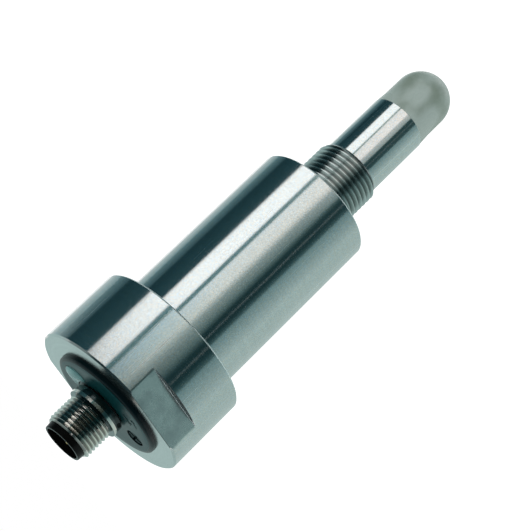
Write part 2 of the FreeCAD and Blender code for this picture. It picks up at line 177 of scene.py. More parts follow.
class Surface:
    """Vertices and faces of one piece while it is being put together."""

    def __init__(self) -> None:
        """Starts with nothing in it."""
        self.points: list[Vector] = []
        self.faces: list[tuple[int, ...]] = []
        self.parts: list[int] = []

    def ring(self, points: Iterable[Vector]) -> list[int]:
        """Adds a loop of points and returns their indices.

        Args:
            points: Points of the loop.

        Returns:
            Index of each point.
        """
        start = len(self.points)
        self.points.extend(points)
        return list(range(start, len(self.points)))

    def face(self, corners: Sequence[int], part: int = 0) -> None:
        """Adds one face with the index of its finish."""
        self.faces.append(tuple(corners))
        self.parts.append(part)

    def bridge(self, first: list[int], second: list[int], part: int = 0) -> None:
        """Joins two loops with faces; a loop of one point is a pole.

        Args:
            first: Indices of one loop.
            second: Indices of the other, as many or just one.
            part: Index of the faces' finish.
        """
        count = max(len(first), len(second))
        for i in range(count):
            j = (i + 1) % count
            corners = [first[i % len(first)], first[j % len(first)], second[j % len(second)],
                       second[i % len(second)]]
            unique = list(dict.fromkeys(corners))
            if len(unique) > 2:
                self.face(unique, part)

    def tower(self, loops: Sequence[Loop], part: int = 0) -> None:
        """Joins loops one after the other.

        Args:
            loops: Loops in the order in which they are joined.
            part: Index of the faces' finish.
        """
        rings = [self.ring(loop) for loop in loops]
        for first, second in zip(rings, rings[1:]):
            self.bridge(first, second, part)

    def turn(self, outline: Outline, segments: int, centre: Vector, closed: bool = True) -> None:
        """Turns an outline round an upright axis.

        Args:
            outline: Points as (radius, height).
            segments: Faces round the axis.
            centre: A point on the axis.
            closed: Whether the last point joins the first.
        """
        loops = [
            circle(centre, radius, height, segments) if radius > MERGE_DISTANCE
            else [Vector((centre.x, centre.y, height))]
            for radius, height in outline
        ]
        self.tower(loops + loops[:1] if closed else loops)

    def plate(self, outer: Loop, holes: Sequence[Loop] = (), part: int = 0) -> None:
        """Fills a level loop, leaving holes open.

        Args:
            outer: Outline of the face.
            holes: Outlines of the openings in it.
            part: Index of the face's finish.
        """
        loops = [outer, *holes]
        indices = [i for loop in loops for i in self.ring(loop)]
        for triangle in tessellate_polygon(loops):
            self.face([indices[i] for i in triangle], part)

    def prism(self, bottom: Loop, top: Loop) -> None:
        """Adds a closed block between two loops of as many points.

        Args:
            bottom: Outline of its lower face.
            top: Outline of its upper face.
        """
        self.tower([bottom, top])
        self.plate(bottom)
        self.plate(top)

    def add_mesh(self, mesh: bpy.types.Mesh, part: int) -> None:
        """Adds every face of a mesh.

        Args:
            mesh: The mesh to copy.
            part: Index of the faces' finish.
        """
        indices = self.ring(vertex.co.copy() for vertex in mesh.vertices)
        for polygon in mesh.polygons:
            self.face([indices[i] for i in polygon.vertices], part)

    def piece(self, name: str, finishes: Sequence["Finish"], sharp: float = SHARP_ANGLE,
              centre: Vector = Vector()) -> bpy.types.Object:
        """Makes the object.

        Args:
            name: Name of the object.
            finishes: Finish of each part index.
            sharp: Angle between faces, in radians, above which an edge is drawn sharp.
            centre: Point on the axis that the finishes run round.

        Returns:
            The finished object, at the origin, with its place in its mesh.
        """
        mesh = bpy.data.meshes.new(name)
        mesh.from_pydata([tuple(point) for point in self.points], [], self.faces)
        mesh.polygons.foreach_set("material_index", self.parts)
        work = bmesh.new()
        work.from_mesh(mesh)
        bmesh.ops.remove_doubles(work, verts=work.verts, dist=MERGE_DISTANCE)
        bmesh.ops.dissolve_degenerate(work, dist=MERGE_DISTANCE, edges=work.edges)
        bmesh.ops.recalc_face_normals(work, faces=work.faces)
        open_edges = sum(1 for edge in work.edges if len(edge.link_faces) != 2)
        if open_edges:
            log.warning("%s has %d edges that do not join two faces", name, open_edges)
        work.to_mesh(mesh)
        work.free()
        mesh.shade_smooth()
        mesh.set_sharp_from_angle(angle=sharp)
        for finish in finishes:
            mesh.materials.append(finish.material(centre))
        return added(name, mesh)


def place(piece: bpy.types.Object, body: str, node: str) -> bpy.types.Object:
    """Ties a finished piece to the frame.

    Args:
        piece: The finished piece.
        body: Body that it moves with.
        node: Node that it is shown in place of.

    Returns:
        The same piece.
    """
    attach(piece, body)
    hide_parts(node)
    return piece


def dress_faces(piece: bpy.types.Object, finishes: Sequence["Finish"],
                rule: Callable[[bpy.types.MeshPolygon], "Finish | None"]) -> None:
    """Gives faces another of a piece's finishes.

    Args:
        piece: The piece.
        finishes: Its finishes, in the order of its material slots.
        rule: Finish that a face gets, or None where it keeps its own.
    """
    for polygon in piece.data.polygons:
        finish = rule(polygon)
        if finish is not None:
            polygon.material_index = finishes.index(finish)


# Geometry nodes

class NodeGraph:
    """Node tree with short calls for adding and joining its nodes."""

    def __init__(self, tree: bpy.types.NodeTree, empty: bool = False) -> None:
        """Takes a tree.

        Args:
            tree: The tree that the calls work on.
            empty: Whether the nodes that it comes with are removed.
        """
        self.tree = tree
        if empty:
            tree.nodes.clear()

    def add(self, kind: str, inputs: dict | None = None, **settings: object) -> bpy.types.Node:
        """Adds a node.

        Args:
            kind: Blender's name of the node type.
            inputs: Values or sockets by input name or index.
            settings: Attributes of the node.

        Returns:
            The new node.
        """
        node = self.tree.nodes.new(kind)
        for key, value in settings.items():
            setattr(node, key, value)
        for key, value in (inputs or {}).items():
            self.feed(node.inputs[key], value)
        return node

    def feed(self, socket: bpy.types.NodeSocket, value: object) -> None:
        """Joins a socket to another one, or sets its value.

        Args:
            socket: Input of a node.
            value: A node's output, or a plain value.
        """
        if isinstance(value, bpy.types.NodeSocket):
            self.tree.links.new(value, socket)
        else:
            socket.default_value = value

    def math(self, operation: str, first: object, second: object = 0.0, third: object = 0.0) -> Socket:
        """Adds a maths node and returns its result."""
        node = self.add("ShaderNodeMath", {0: first, 1: second, 2: third}, operation=operation)
        return node.outputs[0]

    def vector(self, operation: str, first: object, second: object = (0.0, 0.0, 0.0)) -> Socket:
        """Adds a vector maths node and returns its vector."""
        node = self.add("ShaderNodeVectorMath", {0: first, 1: second}, operation=operation)
        return node.outputs["Vector"]

    def length(self, vector: object) -> Socket:
        """Adds a node for the length of a vector and returns it."""
        return self.add("ShaderNodeVectorMath", {0: vector}, operation="LENGTH").outputs["Value"]

    def scaled(self, vector: object, factor: object) -> Socket:
        """Adds a node that scales a vector and returns the vector."""
        return self.add("ShaderNodeVectorMath", {0: vector, 3: factor}, operation="SCALE").outputs[0]

    def ramp(self, value: object, low: object, high: object, start: float = 0.0, end: float = 1.0) -> Socket:
        """Maps a range of values to another, held at its ends.

        Args:
            value: The value to map.
            low: Value that gives the start.
            high: Value that gives the end.
            start: Start of the new range.
            end: End of the new range.

        Returns:
            The mapped value.
        """
        limits = {"From Min": low, "From Max": high, "To Min": start, "To Max": end}
        return self.add("ShaderNodeMapRange", {"Value": value} | limits, clamp=True).outputs[0]


@dataclass(frozen=True)
class ScrewThread:
    """Helical thread on an upright axis, made by Geometry Nodes.

    The surface is a grid that is wound round the axis while each column is raised by its
    share of the pitch, so the crests follow the helix. Both ends run out to the root.
    """

    name: str
    crest: float
    root: float
    pitch: float
    bottom: float
    length: float
    run_out: float
    segments: int
    centre: Vector = field(default_factory=Vector)

    def tree(self) -> bpy.types.GeometryNodeTree:
        """Builds the node tree, with a named input for each size.

        Returns:
            The tree, which puts out the threaded skin.
        """
        tree = bpy.data.node_groups.new(self.name + "_winding", "GeometryNodeTree")
        inputs = {
            "Geometry": ("Geometry",),
            "Float": ("Crest Radius", "Root Radius", "Pitch", "Bottom", "Length", "Run Out", "Flat Share"),
            "Int": ("Segments", "Rows", "Rows Per Pitch"),
            "Vector": ("Centre",),
            "Material": ("Material",),
        }
        for kind, labels in inputs.items():
            for label in labels:
                tree.interface.new_socket(label, in_out="INPUT", socket_type="NodeSocket" + kind)
        tree.interface.new_socket("Geometry", in_out="OUTPUT", socket_type="NodeSocketGeometry")
        graph = NodeGraph(tree)
        given = graph.add("NodeGroupInput").outputs
        columns = graph.math("ADD", given["Segments"], 1.0)
        rows = graph.math("ADD", given["Rows"], 1.0)
        grid = graph.add("GeometryNodeMeshGrid", {
            "Size X": 1.0, "Size Y": 1.0, "Vertices X": columns, "Vertices Y": rows})
        position = graph.add("GeometryNodeInputPosition").outputs[0]
        place_on_grid = graph.add("ShaderNodeSeparateXYZ", {0: position}).outputs
        around = graph.math("ADD", place_on_grid["X"], 0.5)
        row = graph.math("MULTIPLY", graph.math("ADD", place_on_grid["Y"], 0.5), given["Rows"])
        turns = graph.math("DIVIDE", row, given["Rows Per Pitch"])
        lift = graph.math("SUBTRACT", graph.math("ADD", turns, around), 1.0)
        from_bottom = graph.math("MULTIPLY", lift, given["Pitch"])
        from_top = graph.math("SUBTRACT", given["Length"], from_bottom)
        phase = graph.math("FRACT", turns)
        ridge = graph.math("ABSOLUTE", graph.math("MULTIPLY_ADD", phase, 2.0, -1.0))
        upper = graph.math("SUBTRACT", 1.0, given["Flat Share"])
        profile = graph.ramp(ridge, given["Flat Share"], upper)
        cone = graph.ramp(graph.math("MINIMUM", from_bottom, from_top), 0.0, given["Run Out"])
        share = graph.math("MINIMUM", profile, cone)
        depth = graph.math("SUBTRACT", given["Crest Radius"], given["Root Radius"])
        radius = graph.math("MULTIPLY_ADD", share, depth, given["Root Radius"])
        level = graph.math("MINIMUM", graph.math("MAXIMUM", from_bottom, 0.0), given["Length"])
        height = graph.math("ADD", level, given["Bottom"])
        angle = graph.math("MULTIPLY", around, 2 * math.pi)
        wound = graph.add("ShaderNodeCombineXYZ", {
            "X": graph.math("MULTIPLY", radius, graph.math("COSINE", angle)),
            "Y": graph.math("MULTIPLY", radius, graph.math("SINE", angle)),
            "Z": height})
        moved = graph.vector("ADD", wound.outputs[0], given["Centre"])
        winding = graph.add("GeometryNodeSetPosition", {"Geometry": grid.outputs[0], "Position": moved})
        merged = graph.add("GeometryNodeMergeByDistance", {
            "Geometry": winding.outputs[0], "Distance": THREAD_MERGE})
        realized = graph.add("GeometryNodeRealizeInstances", {"Geometry": merged.outputs[0]})
        dressed = graph.add("GeometryNodeSetMaterial", {
            "Geometry": realized.outputs[0], "Material": given["Material"]})
        graph.add("NodeGroupOutput", {0: dressed.outputs[0]})
        return tree

    def mesh(self, material: bpy.types.Material) -> bpy.types.Mesh:
        """Winds the thread and returns it as a plain open mesh.

        Args:
            material: Material of the thread's faces.

        Returns:
            The threaded skin between its two root circles.
        """
        rows = math.ceil((self.length / self.pitch + 1) * THREAD_ROWS)
        values = {
            "Crest Radius": self.crest, "Root Radius": self.root, "Pitch": self.pitch,
            "Bottom": self.bottom, "Length": self.length, "Run Out": self.run_out,
            "Flat Share": THREAD_FLAT_SHARE, "Segments": self.segments, "Rows": rows,
            "Rows Per Pitch": THREAD_ROWS, "Centre": self.centre, "Material": material,
        }
        return baked_tree(self.name, self.tree(), values)


def baked_tree(name: str, tree: bpy.types.GeometryNodeTree, values: dict[str, object]) -> bpy.types.Mesh:
    """Runs a geometry node tree and keeps its result as a plain mesh.

    Args:
        name: Name for the mesh.
        tree: The node tree.
        values: Input values by the names of the tree's inputs.

    Returns:
        The mesh that the tree puts out.
    """
    carrier = added(name + "_carrier", bpy.data.meshes.new(name + "_carrier"))
    modifier = carrier.modifiers.new("winding", "NODES")
    modifier.node_group = tree
    for item in tree.interface.items_tree:
        if item.in_out == "INPUT" and item.name in values:
            modifier[item.identifier] = values[item.name]
    carrier.update_tag()
    bpy.context.view_layer.update()
    evaluated = carrier.evaluated_get(bpy.context.evaluated_depsgraph_get())
    mesh = bpy.data.meshes.new_from_object(evaluated)
    carrier.modifiers.remove(modifier)
    bpy.data.objects.remove(carrier)
    return mesh


# Shader groups

def new_group(name: str, inputs: Sequence[str], outputs: Sequence[str]) -> tuple[NodeGraph, bpy.types.Node]:
    """Starts a shader node group, whose first input is the point on the piece.

    Args:
        name: Name of the group.
        inputs: Names of the values that it takes.
        outputs: Names of the values that it puts out.

    Returns:
        The group's graph and its input node.
    """
    tree = bpy.data.node_groups.new(name, "ShaderNodeTree")
    tree.interface.new_socket("Point", in_out="INPUT", socket_type="NodeSocketVector")
    for label in inputs:
        tree.interface.new_socket(label, in_out="INPUT", socket_type="NodeSocketFloat")
    for label in outputs:
        tree.interface.new_socket(label, in_out="OUTPUT", socket_type="NodeSocketFloat")
    graph = NodeGraph(tree)
    return graph, graph.add("NodeGroupInput")


@dataclass(frozen=True)
class ToolMarks:
    """Rings that a cutting tool leaves round an axis, and scratches along it."""

    band_frequency: float = 0.13
    scratches_around: float = 75.0
    scratches_along: float = 25.0
    scratch_low: float = 0.77
    scratch_high: float = 0.84

    def group(self) -> bpy.types.ShaderNodeTree:
        """Builds the group.

        Returns:
            A group that puts out fine lines, slower bands and scratches.
        """
        graph, given = new_group("tool_marks", ("Spacing", "Waviness"), ("Lines", "Bands", "Scratches"))
        parts = graph.add("ShaderNodeSeparateXYZ", {0: given.outputs["Point"]}).outputs
        level = graph.add("ShaderNodeCombineXYZ", {"X": parts["X"], "Y": parts["Y"]}).outputs[0]
        way = graph.vector("NORMALIZE", level)
        travel = graph.math("ADD", graph.length(level), parts["Z"])
        count = graph.math("DIVIDE", travel, given.outputs["Spacing"])
        along = graph.add("ShaderNodeCombineXYZ", {"Z": count}).outputs[0]
        spot = graph.vector("ADD", graph.scaled(way, given.outputs["Waviness"]), along)
        lines = graph.add("ShaderNodeTexNoise", {"Vector": spot, "Scale": 1.0, "Detail": 2.0})
        slow = graph.scaled(spot, self.band_frequency)
        bands = graph.add("ShaderNodeTexNoise", {"Vector": slow, "Scale": 1.0, "Detail": 1.0})
        drift = graph.math("MULTIPLY", parts["Z"], self.scratches_along)
        drawn = graph.vector("ADD", graph.scaled(way, self.scratches_around),
                             graph.add("ShaderNodeCombineXYZ", {"Z": drift}).outputs[0])
        fine = graph.add("ShaderNodeTexNoise", {"Vector": drawn, "Scale": 1.0, "Detail": 0.0})
        scratches = graph.ramp(fine.outputs["Fac"], self.scratch_low, self.scratch_high)
        graph.add("NodeGroupOutput", {
            "Lines": lines.outputs["Fac"], "Bands": bands.outputs["Fac"], "Scratches": scratches})
        return graph.tree


@dataclass(frozen=True)
class SurfaceGrain:
    """Fine even grain, as a height and as a factor round one."""

    roughness: float = 0.7

    def group(self) -> bpy.types.ShaderNodeTree:
        """Builds the group.

        Returns:
            A group that puts out the factor and the height.
        """
        graph, given = new_group("surface_grain", ("Size", "Amount"), ("Factor", "Height"))
        noise = graph.add("ShaderNodeTexNoise", {
            "Vector": given.outputs["Point"], "Scale": graph.math("DIVIDE", 1.0, given.outputs["Size"]),
            "Detail": 2.0, "Roughness": self.roughness})
        centred = graph.math("MULTIPLY_ADD", noise.outputs["Fac"], 2.0, -1.0)
        factor = graph.math("MULTIPLY_ADD", centred, given.outputs["Amount"], 1.0)
        graph.add("NodeGroupOutput", {"Factor": factor, "Height": noise.outputs["Fac"]})
        return graph.tree


@dataclass(frozen=True)
class HandlingMarks:
    """Faint clouds and wipe marks that handling leaves, from none to full."""

    low: float = 0.38
    high: float = 0.68
    distortion: float = 0.25

    def group(self) -> bpy.types.ShaderNodeTree:
        """Builds the group.

        Returns:
            A group that puts out the mask.
        """
        graph, given = new_group("handling_marks", ("Size", "Detail"), ("Mask",))
        cloud = graph.add("ShaderNodeTexNoise", {
            "Vector": given.outputs["Point"], "Scale": graph.math("DIVIDE", 1.0, given.outputs["Size"]),
            "Detail": given.outputs["Detail"], "Distortion": self.distortion})
        graph.add("NodeGroupOutput", {"Mask": graph.ramp(cloud.outputs["Fac"], self.low, self.high)})
        return graph.tree


class Effect(Enum):
    """The shader groups, each built when first asked for."""

    tool_marks = ToolMarks()
    surface_grain = SurfaceGrain()
    handling_marks = HandlingMarks()

    def tree(self) -> bpy.types.ShaderNodeTree:
        """The group's node tree."""
        return bpy.data.node_groups.get(self.name) or self.value.group()


class Dye(NodeGraph):
    """Graph of one material, with its surface shader and a point on the piece."""

    def __init__(self, name: str, centre: Vector) -> None:
        """Starts a material.

        Args:
            name: Name of the material.
            centre: Point on the axis that patterns run round.
        """
        made = bpy.data.materials.new(name)
        made.use_nodes = True
        super().__init__(made.node_tree)
        self.shader = self.tree.nodes["Principled BSDF"]
        where = self.add("ShaderNodeTexCoord").outputs["Object"]
        offset = Vector((-centre.x, -centre.y, 0.0))
        self.point = self.add("ShaderNodeMapping", {"Vector": where, "Location": offset}).outputs[0]

    def effect(self, effect: Effect, **inputs: object) -> dict[str, Socket]:
        """Places a shader group on the piece.

        Args:
            effect: The group.
            inputs: Its values by name.

        Returns:
            Its outputs by name.
        """
        node = self.add("ShaderNodeGroup", node_tree=effect.tree())
        for key, value in ({"Point": self.point} | inputs).items():
            self.feed(node.inputs[key], value)
        return {output.name: output for output in node.outputs}

    def mix(self, factor: object, first: object, second: object, blend: str = "MIX") -> Socket:
        """Adds a colour mix.

        Args:
            factor: Share of the second colour.
            first: The first colour.
            second: The second colour.
            blend: Blender's name of the way to mix them.

        Returns:
            The mixed colour.
        """
        node = self.add("ShaderNodeMix", data_type="RGBA", blend_type=blend)
        for key, value in (("Factor", factor), ("A", first), ("B", second)):
            self.feed(node.inputs[key], value)
        return node.outputs["Result"]

    def spread(self, value: object, low: float, high: float) -> Socket:
        """Maps a value from 0 to 1 to a range and returns it."""
        return self.ramp(value, 0.0, 1.0, low, high)

    def bump(self, height: object, depth: float, strength: float = BUMP_STRENGTH) -> None:
        """Feeds the shader's normal from a height between 0 and 1, depth in metres."""
        node = self.add("ShaderNodeBump", {"Height": height, "Distance": depth, "Strength": strength})
        self.feed(self.shader.inputs["Normal"], node.outputs[0])

    def set(self, **inputs: object) -> None:
        """Sets or joins the shader's inputs, named with underscores for spaces."""
        for key, value in inputs.items():
            self.feed(self.shader.inputs[key.replace("_", " ")], value)


def opaque(colour: Colour) -> tuple[float, float, float, float]:
    """Colour with full alpha, as sockets want it."""
    return (*colour, 1.0)


# Finishes

@dataclass(frozen=True)
class MetalFinish:
    """Bare or plated metal, with the marks of its tool and of handling, a painted glint on its scratches and
    painted shade towards thread roots.
    """

    colour: Colour
    shade: Colour
    roughness: float
    roughness_swing: float
    anisotropy: float = 0.0
    mark_spacing: float = 0.09 * MM
    mark_depth: float = 0.002 * MM
    grain: float = 0.05
    grain_size: float = 0.35 * MM
    grain_depth: float = 0.0
    smudge_size: float = 14 * MM
    smudges: float = 0.35
    scratches: float = 0.0
    grain_tint: float = 0.0
    # Painted shade: the colour darkens from the crest radius in to the root radius, down to this share at the
    # root
    valley: tuple[float, float] = (0.0, 0.0)
    valley_shade: float = 0.25

    # The same for every metal
    smudge_detail: float = 5.0
    marks_waviness: float = 2.0
    band_swing: float = 0.06
    speck_scale: float = 0.8
    speck_low: float = 0.35
    speck_high: float = 0.65
    scratch_glow: float = 1.35
    scratch_roughness: float = 0.20
    quarter_turn: float = 0.25

    def dress(self, dye: Dye) -> None:
        """Builds the look round the axis of the piece.

        Args:
            dye: Graph of the material.
        """
        marks = dye.effect(Effect.tool_marks, Spacing=self.mark_spacing, Waviness=self.marks_waviness)
        grain = dye.effect(Effect.surface_grain, Size=self.grain_size, Amount=self.grain)
        clouds = dye.effect(Effect.handling_marks, Size=self.smudge_size, Detail=self.smudge_detail)["Mask"]
        scratched = dye.math("MULTIPLY", marks["Scratches"], self.scratches)
        banded = dye.spread(marks["Bands"], 1.0 - self.band_swing, 1.0 + self.band_swing)
        light = dye.math("MULTIPLY", grain["Factor"], banded)
        # Painted glint: the scratches are real marks, drawn lighter in colour than the metal round them
        light = dye.math("MULTIPLY", light, dye.spread(scratched, 1.0, self.scratch_glow))
        # Painted shade: darker towards the thread's root
        if self.valley[1]:
            level = dye.vector("MULTIPLY", dye.point, (1.0, 1.0, 0.0))
            light = dye.math("MULTIPLY", light, dye.ramp(dye.length(level), *self.valley, self.valley_shade))
        uneven = dye.math("MULTIPLY_ADD", marks["Bands"], 0.5, dye.math("MULTIPLY", clouds, 0.5))
        low, high = self.roughness - self.roughness_swing, self.roughness + self.roughness_swing
        rough = dye.math("MULTIPLY_ADD", scratched, self.scratch_roughness, dye.spread(uneven, low, high))
        dye.set(Base_Color=dye.scaled(self.tone(dye, clouds), light), Metallic=1.0, Roughness=rough)
        grain_share = self.grain_depth / self.mark_depth
        dye.bump(dye.math("MULTIPLY_ADD", grain["Height"], grain_share, marks["Lines"]), self.mark_depth, 1.0)
        if self.anisotropy:
            tangent = dye.add("ShaderNodeTangent", direction_type="RADIAL", axis="Z").outputs[0]
            dye.set(Anisotropic=self.anisotropy, Anisotropic_Rotation=self.quarter_turn, Tangent=tangent)

    def tone(self, dye: Dye, clouds: Socket) -> Socket:
        """Mixes the colour of the metal.

        Args:
            dye: Graph of the material.
            clouds: Where handling has dulled the metal.

        Returns:
            The colour, with warm and cool specks where the finish has them.
        """
        plain = dye.mix(dye.math("MULTIPLY", clouds, self.smudges), opaque(self.colour), opaque(self.shade))
        if not self.grain_tint:
            return plain
        specks = dye.effect(Effect.surface_grain, Size=self.grain_size * self.speck_scale, Amount=0.0)
        warm = opaque((1.0 + self.grain_tint, 1.0, 1.0 - self.grain_tint))
        cool = opaque((1.0 - self.grain_tint, 1.0, 1.0 + self.grain_tint))
        share = dye.ramp(specks["Height"], self.speck_low, self.speck_high)
        return dye.mix(1.0, plain, dye.mix(share, warm, cool), "MULTIPLY")


@dataclass(frozen=True)
class PlasticFinish:
    """Moulded or turned plastic, rubber or resin with a fine skin."""

    colour: Colour
    shade: Colour
    roughness: float
    skin_size: float = 0.25 * MM
    skin_depth: float = 0.006 * MM
    grain: float = 0.06
    cloud_size: float = 7 * MM
    cloud_detail: float = 4.0
    coat: float = 0.0
    coat_roughness: float = 0.12
    specular: float = 0.5
    polish: float = 0.9
    wear: float = 1.12

    def dress(self, dye: Dye) -> None:
        """Builds the look.

        Args:
            dye: Graph of the material.
        """
        skin = dye.effect(Effect.surface_grain, Size=self.skin_size, Amount=self.grain)
        clouds = dye.effect(Effect.handling_marks, Size=self.cloud_size, Detail=self.cloud_detail)["Mask"]
        tone = dye.mix(clouds, opaque(self.colour), opaque(self.shade))
        rough = dye.spread(clouds, self.roughness * self.polish, min(1.0, self.roughness * self.wear))
        dye.set(Base_Color=dye.scaled(tone, skin["Factor"]), Roughness=rough)
        dye.set(Specular_IOR_Level=self.specular)
        dye.bump(skin["Height"], self.skin_depth)
        if self.coat:
            dye.set(Coat_Weight=self.coat, Coat_Roughness=self.coat_roughness)


@dataclass(frozen=True)
class MilkyFinish:
    """Translucent plastic with painted shade in soft dark patches and a painted sheen towards its rims."""

    colour: Colour
    # Colour of the painted shade that stands in for reflections of dark surroundings, then the colour of the
    # painted sheen at the rims
    patch: Colour
    rim: Colour
    roughness: float
    patch_size: float = 5.9 * MM
    patch_stretch: float = 0.7
    patch_low: float = 0.1
    patch_high: float = 0.9
    fine_share: float = 0.12
    rim_share: float = 0.7
    rim_width: float = 0.25
    wear: float = 1.25
    translucency: float = 0.12
    depths: tuple[float, float, float] = (1.0, 1.0, 0.9)
    skin_grain: float = 0.05
    skin_size: float = 0.3 * MM
    skin_depth: float = 0.005 * MM

    def dress(self, dye: Dye) -> None:
        """Builds the look.

        Args:
            dye: Graph of the material.
        """
        skin = dye.effect(Effect.surface_grain, Size=self.skin_size, Amount=self.skin_grain)
        # Painted shade: soft dark patches standing in for reflections of dark surroundings
        drawn = dye.vector("MULTIPLY", dye.point, (1.0, 1.0, self.patch_stretch))
        patches = dye.effect(Effect.handling_marks, Point=drawn, Size=self.patch_size, Detail=0.0)["Mask"]
        fine = dye.effect(Effect.handling_marks, Size=self.patch_size / 3, Detail=1.0)["Mask"]
        broad = dye.math("MULTIPLY", patches, 1.0 - self.fine_share)
        both = dye.math("MULTIPLY_ADD", fine, self.fine_share, broad)
        share = dye.add("ShaderNodeMapRange", {
            "Value": both, "From Min": self.patch_low, "From Max": self.patch_high},
            interpolation_type="SMOOTHSTEP").outputs[0]
        tone = dye.mix(share, opaque(self.colour), opaque(self.patch))
        # Painted sheen: lighter towards the rims, where the surface turns away from the view
        facing = dye.add("ShaderNodeLayerWeight", {"Blend": self.rim_width}).outputs["Facing"]
        pale = dye.mix(dye.math("MULTIPLY", facing, self.rim_share), tone, opaque(self.rim))
        dye.set(Base_Color=dye.scaled(pale, skin["Factor"]),
                Roughness=dye.spread(patches, self.roughness, self.roughness * self.wear),
                Subsurface_Weight=self.translucency, Subsurface_Scale=MM, Subsurface_Radius=self.depths)
        dye.bump(skin["Height"], self.skin_depth)


@dataclass(frozen=True)
class ClearFinish:
    """Milky clear plastic of a lens."""

    colour: Colour
    shade: Colour
    roughness: float
    clearness: float
    bending: float = 1.49
    wear: float = 1.4
    skin_grain: float = 0.03
    skin_size: float = 0.5 * MM
    skin_depth: float = 0.004 * MM
    cloud_size: float = 3 * MM

    def dress(self, dye: Dye) -> None:
        """Builds the look.

        Args:
            dye: Graph of the material.
        """
        skin = dye.effect(Effect.surface_grain, Size=self.skin_size, Amount=self.skin_grain)
        clouds = dye.effect(Effect.handling_marks, Size=self.cloud_size, Detail=2.0)["Mask"]
        tone = dye.mix(clouds, opaque(self.colour), opaque(self.shade))
        dye.set(Base_Color=dye.scaled(tone, skin["Factor"]), IOR=self.bending,
                Transmission_Weight=self.clearness,
                Roughness=dye.spread(clouds, self.roughness, self.roughness * self.wear))
        dye.bump(skin["Height"], self.skin_depth, 0.5)


@dataclass(frozen=True)
class LaminateFinish:
    """Circuit board with a weave under its lacquer and copper tracks."""

    colour: Colour
    track: Colour
    roughness: float
    track_pitch: float = 2.4 * MM
    track_edges: tuple[float, float] = (0.05, 0.08)
    track_polish: float = 0.7
    weave: float = 0.08
    weave_size: float = 0.2 * MM
    track_depth: float = 0.02 * MM

    def dress(self, dye: Dye) -> None:
        """Builds the look.

        Args:
            dye: Graph of the material.
        """
        cells = dye.add("ShaderNodeTexVoronoi", {"Vector": dye.point, "Scale": 1 / self.track_pitch},
                        distance="MANHATTAN", feature="DISTANCE_TO_EDGE")
        tracks = dye.ramp(cells.outputs["Distance"], *self.track_edges, 1.0, 0.0)
        weave = dye.effect(Effect.surface_grain, Size=self.weave_size, Amount=self.weave)
        tone = dye.mix(tracks, opaque(self.colour), opaque(self.track))
        dye.set(Base_Color=dye.scaled(tone, weave["Factor"]),
                Roughness=dye.spread(tracks, self.roughness, self.roughness * self.track_polish))
        dye.bump(tracks, self.track_depth)


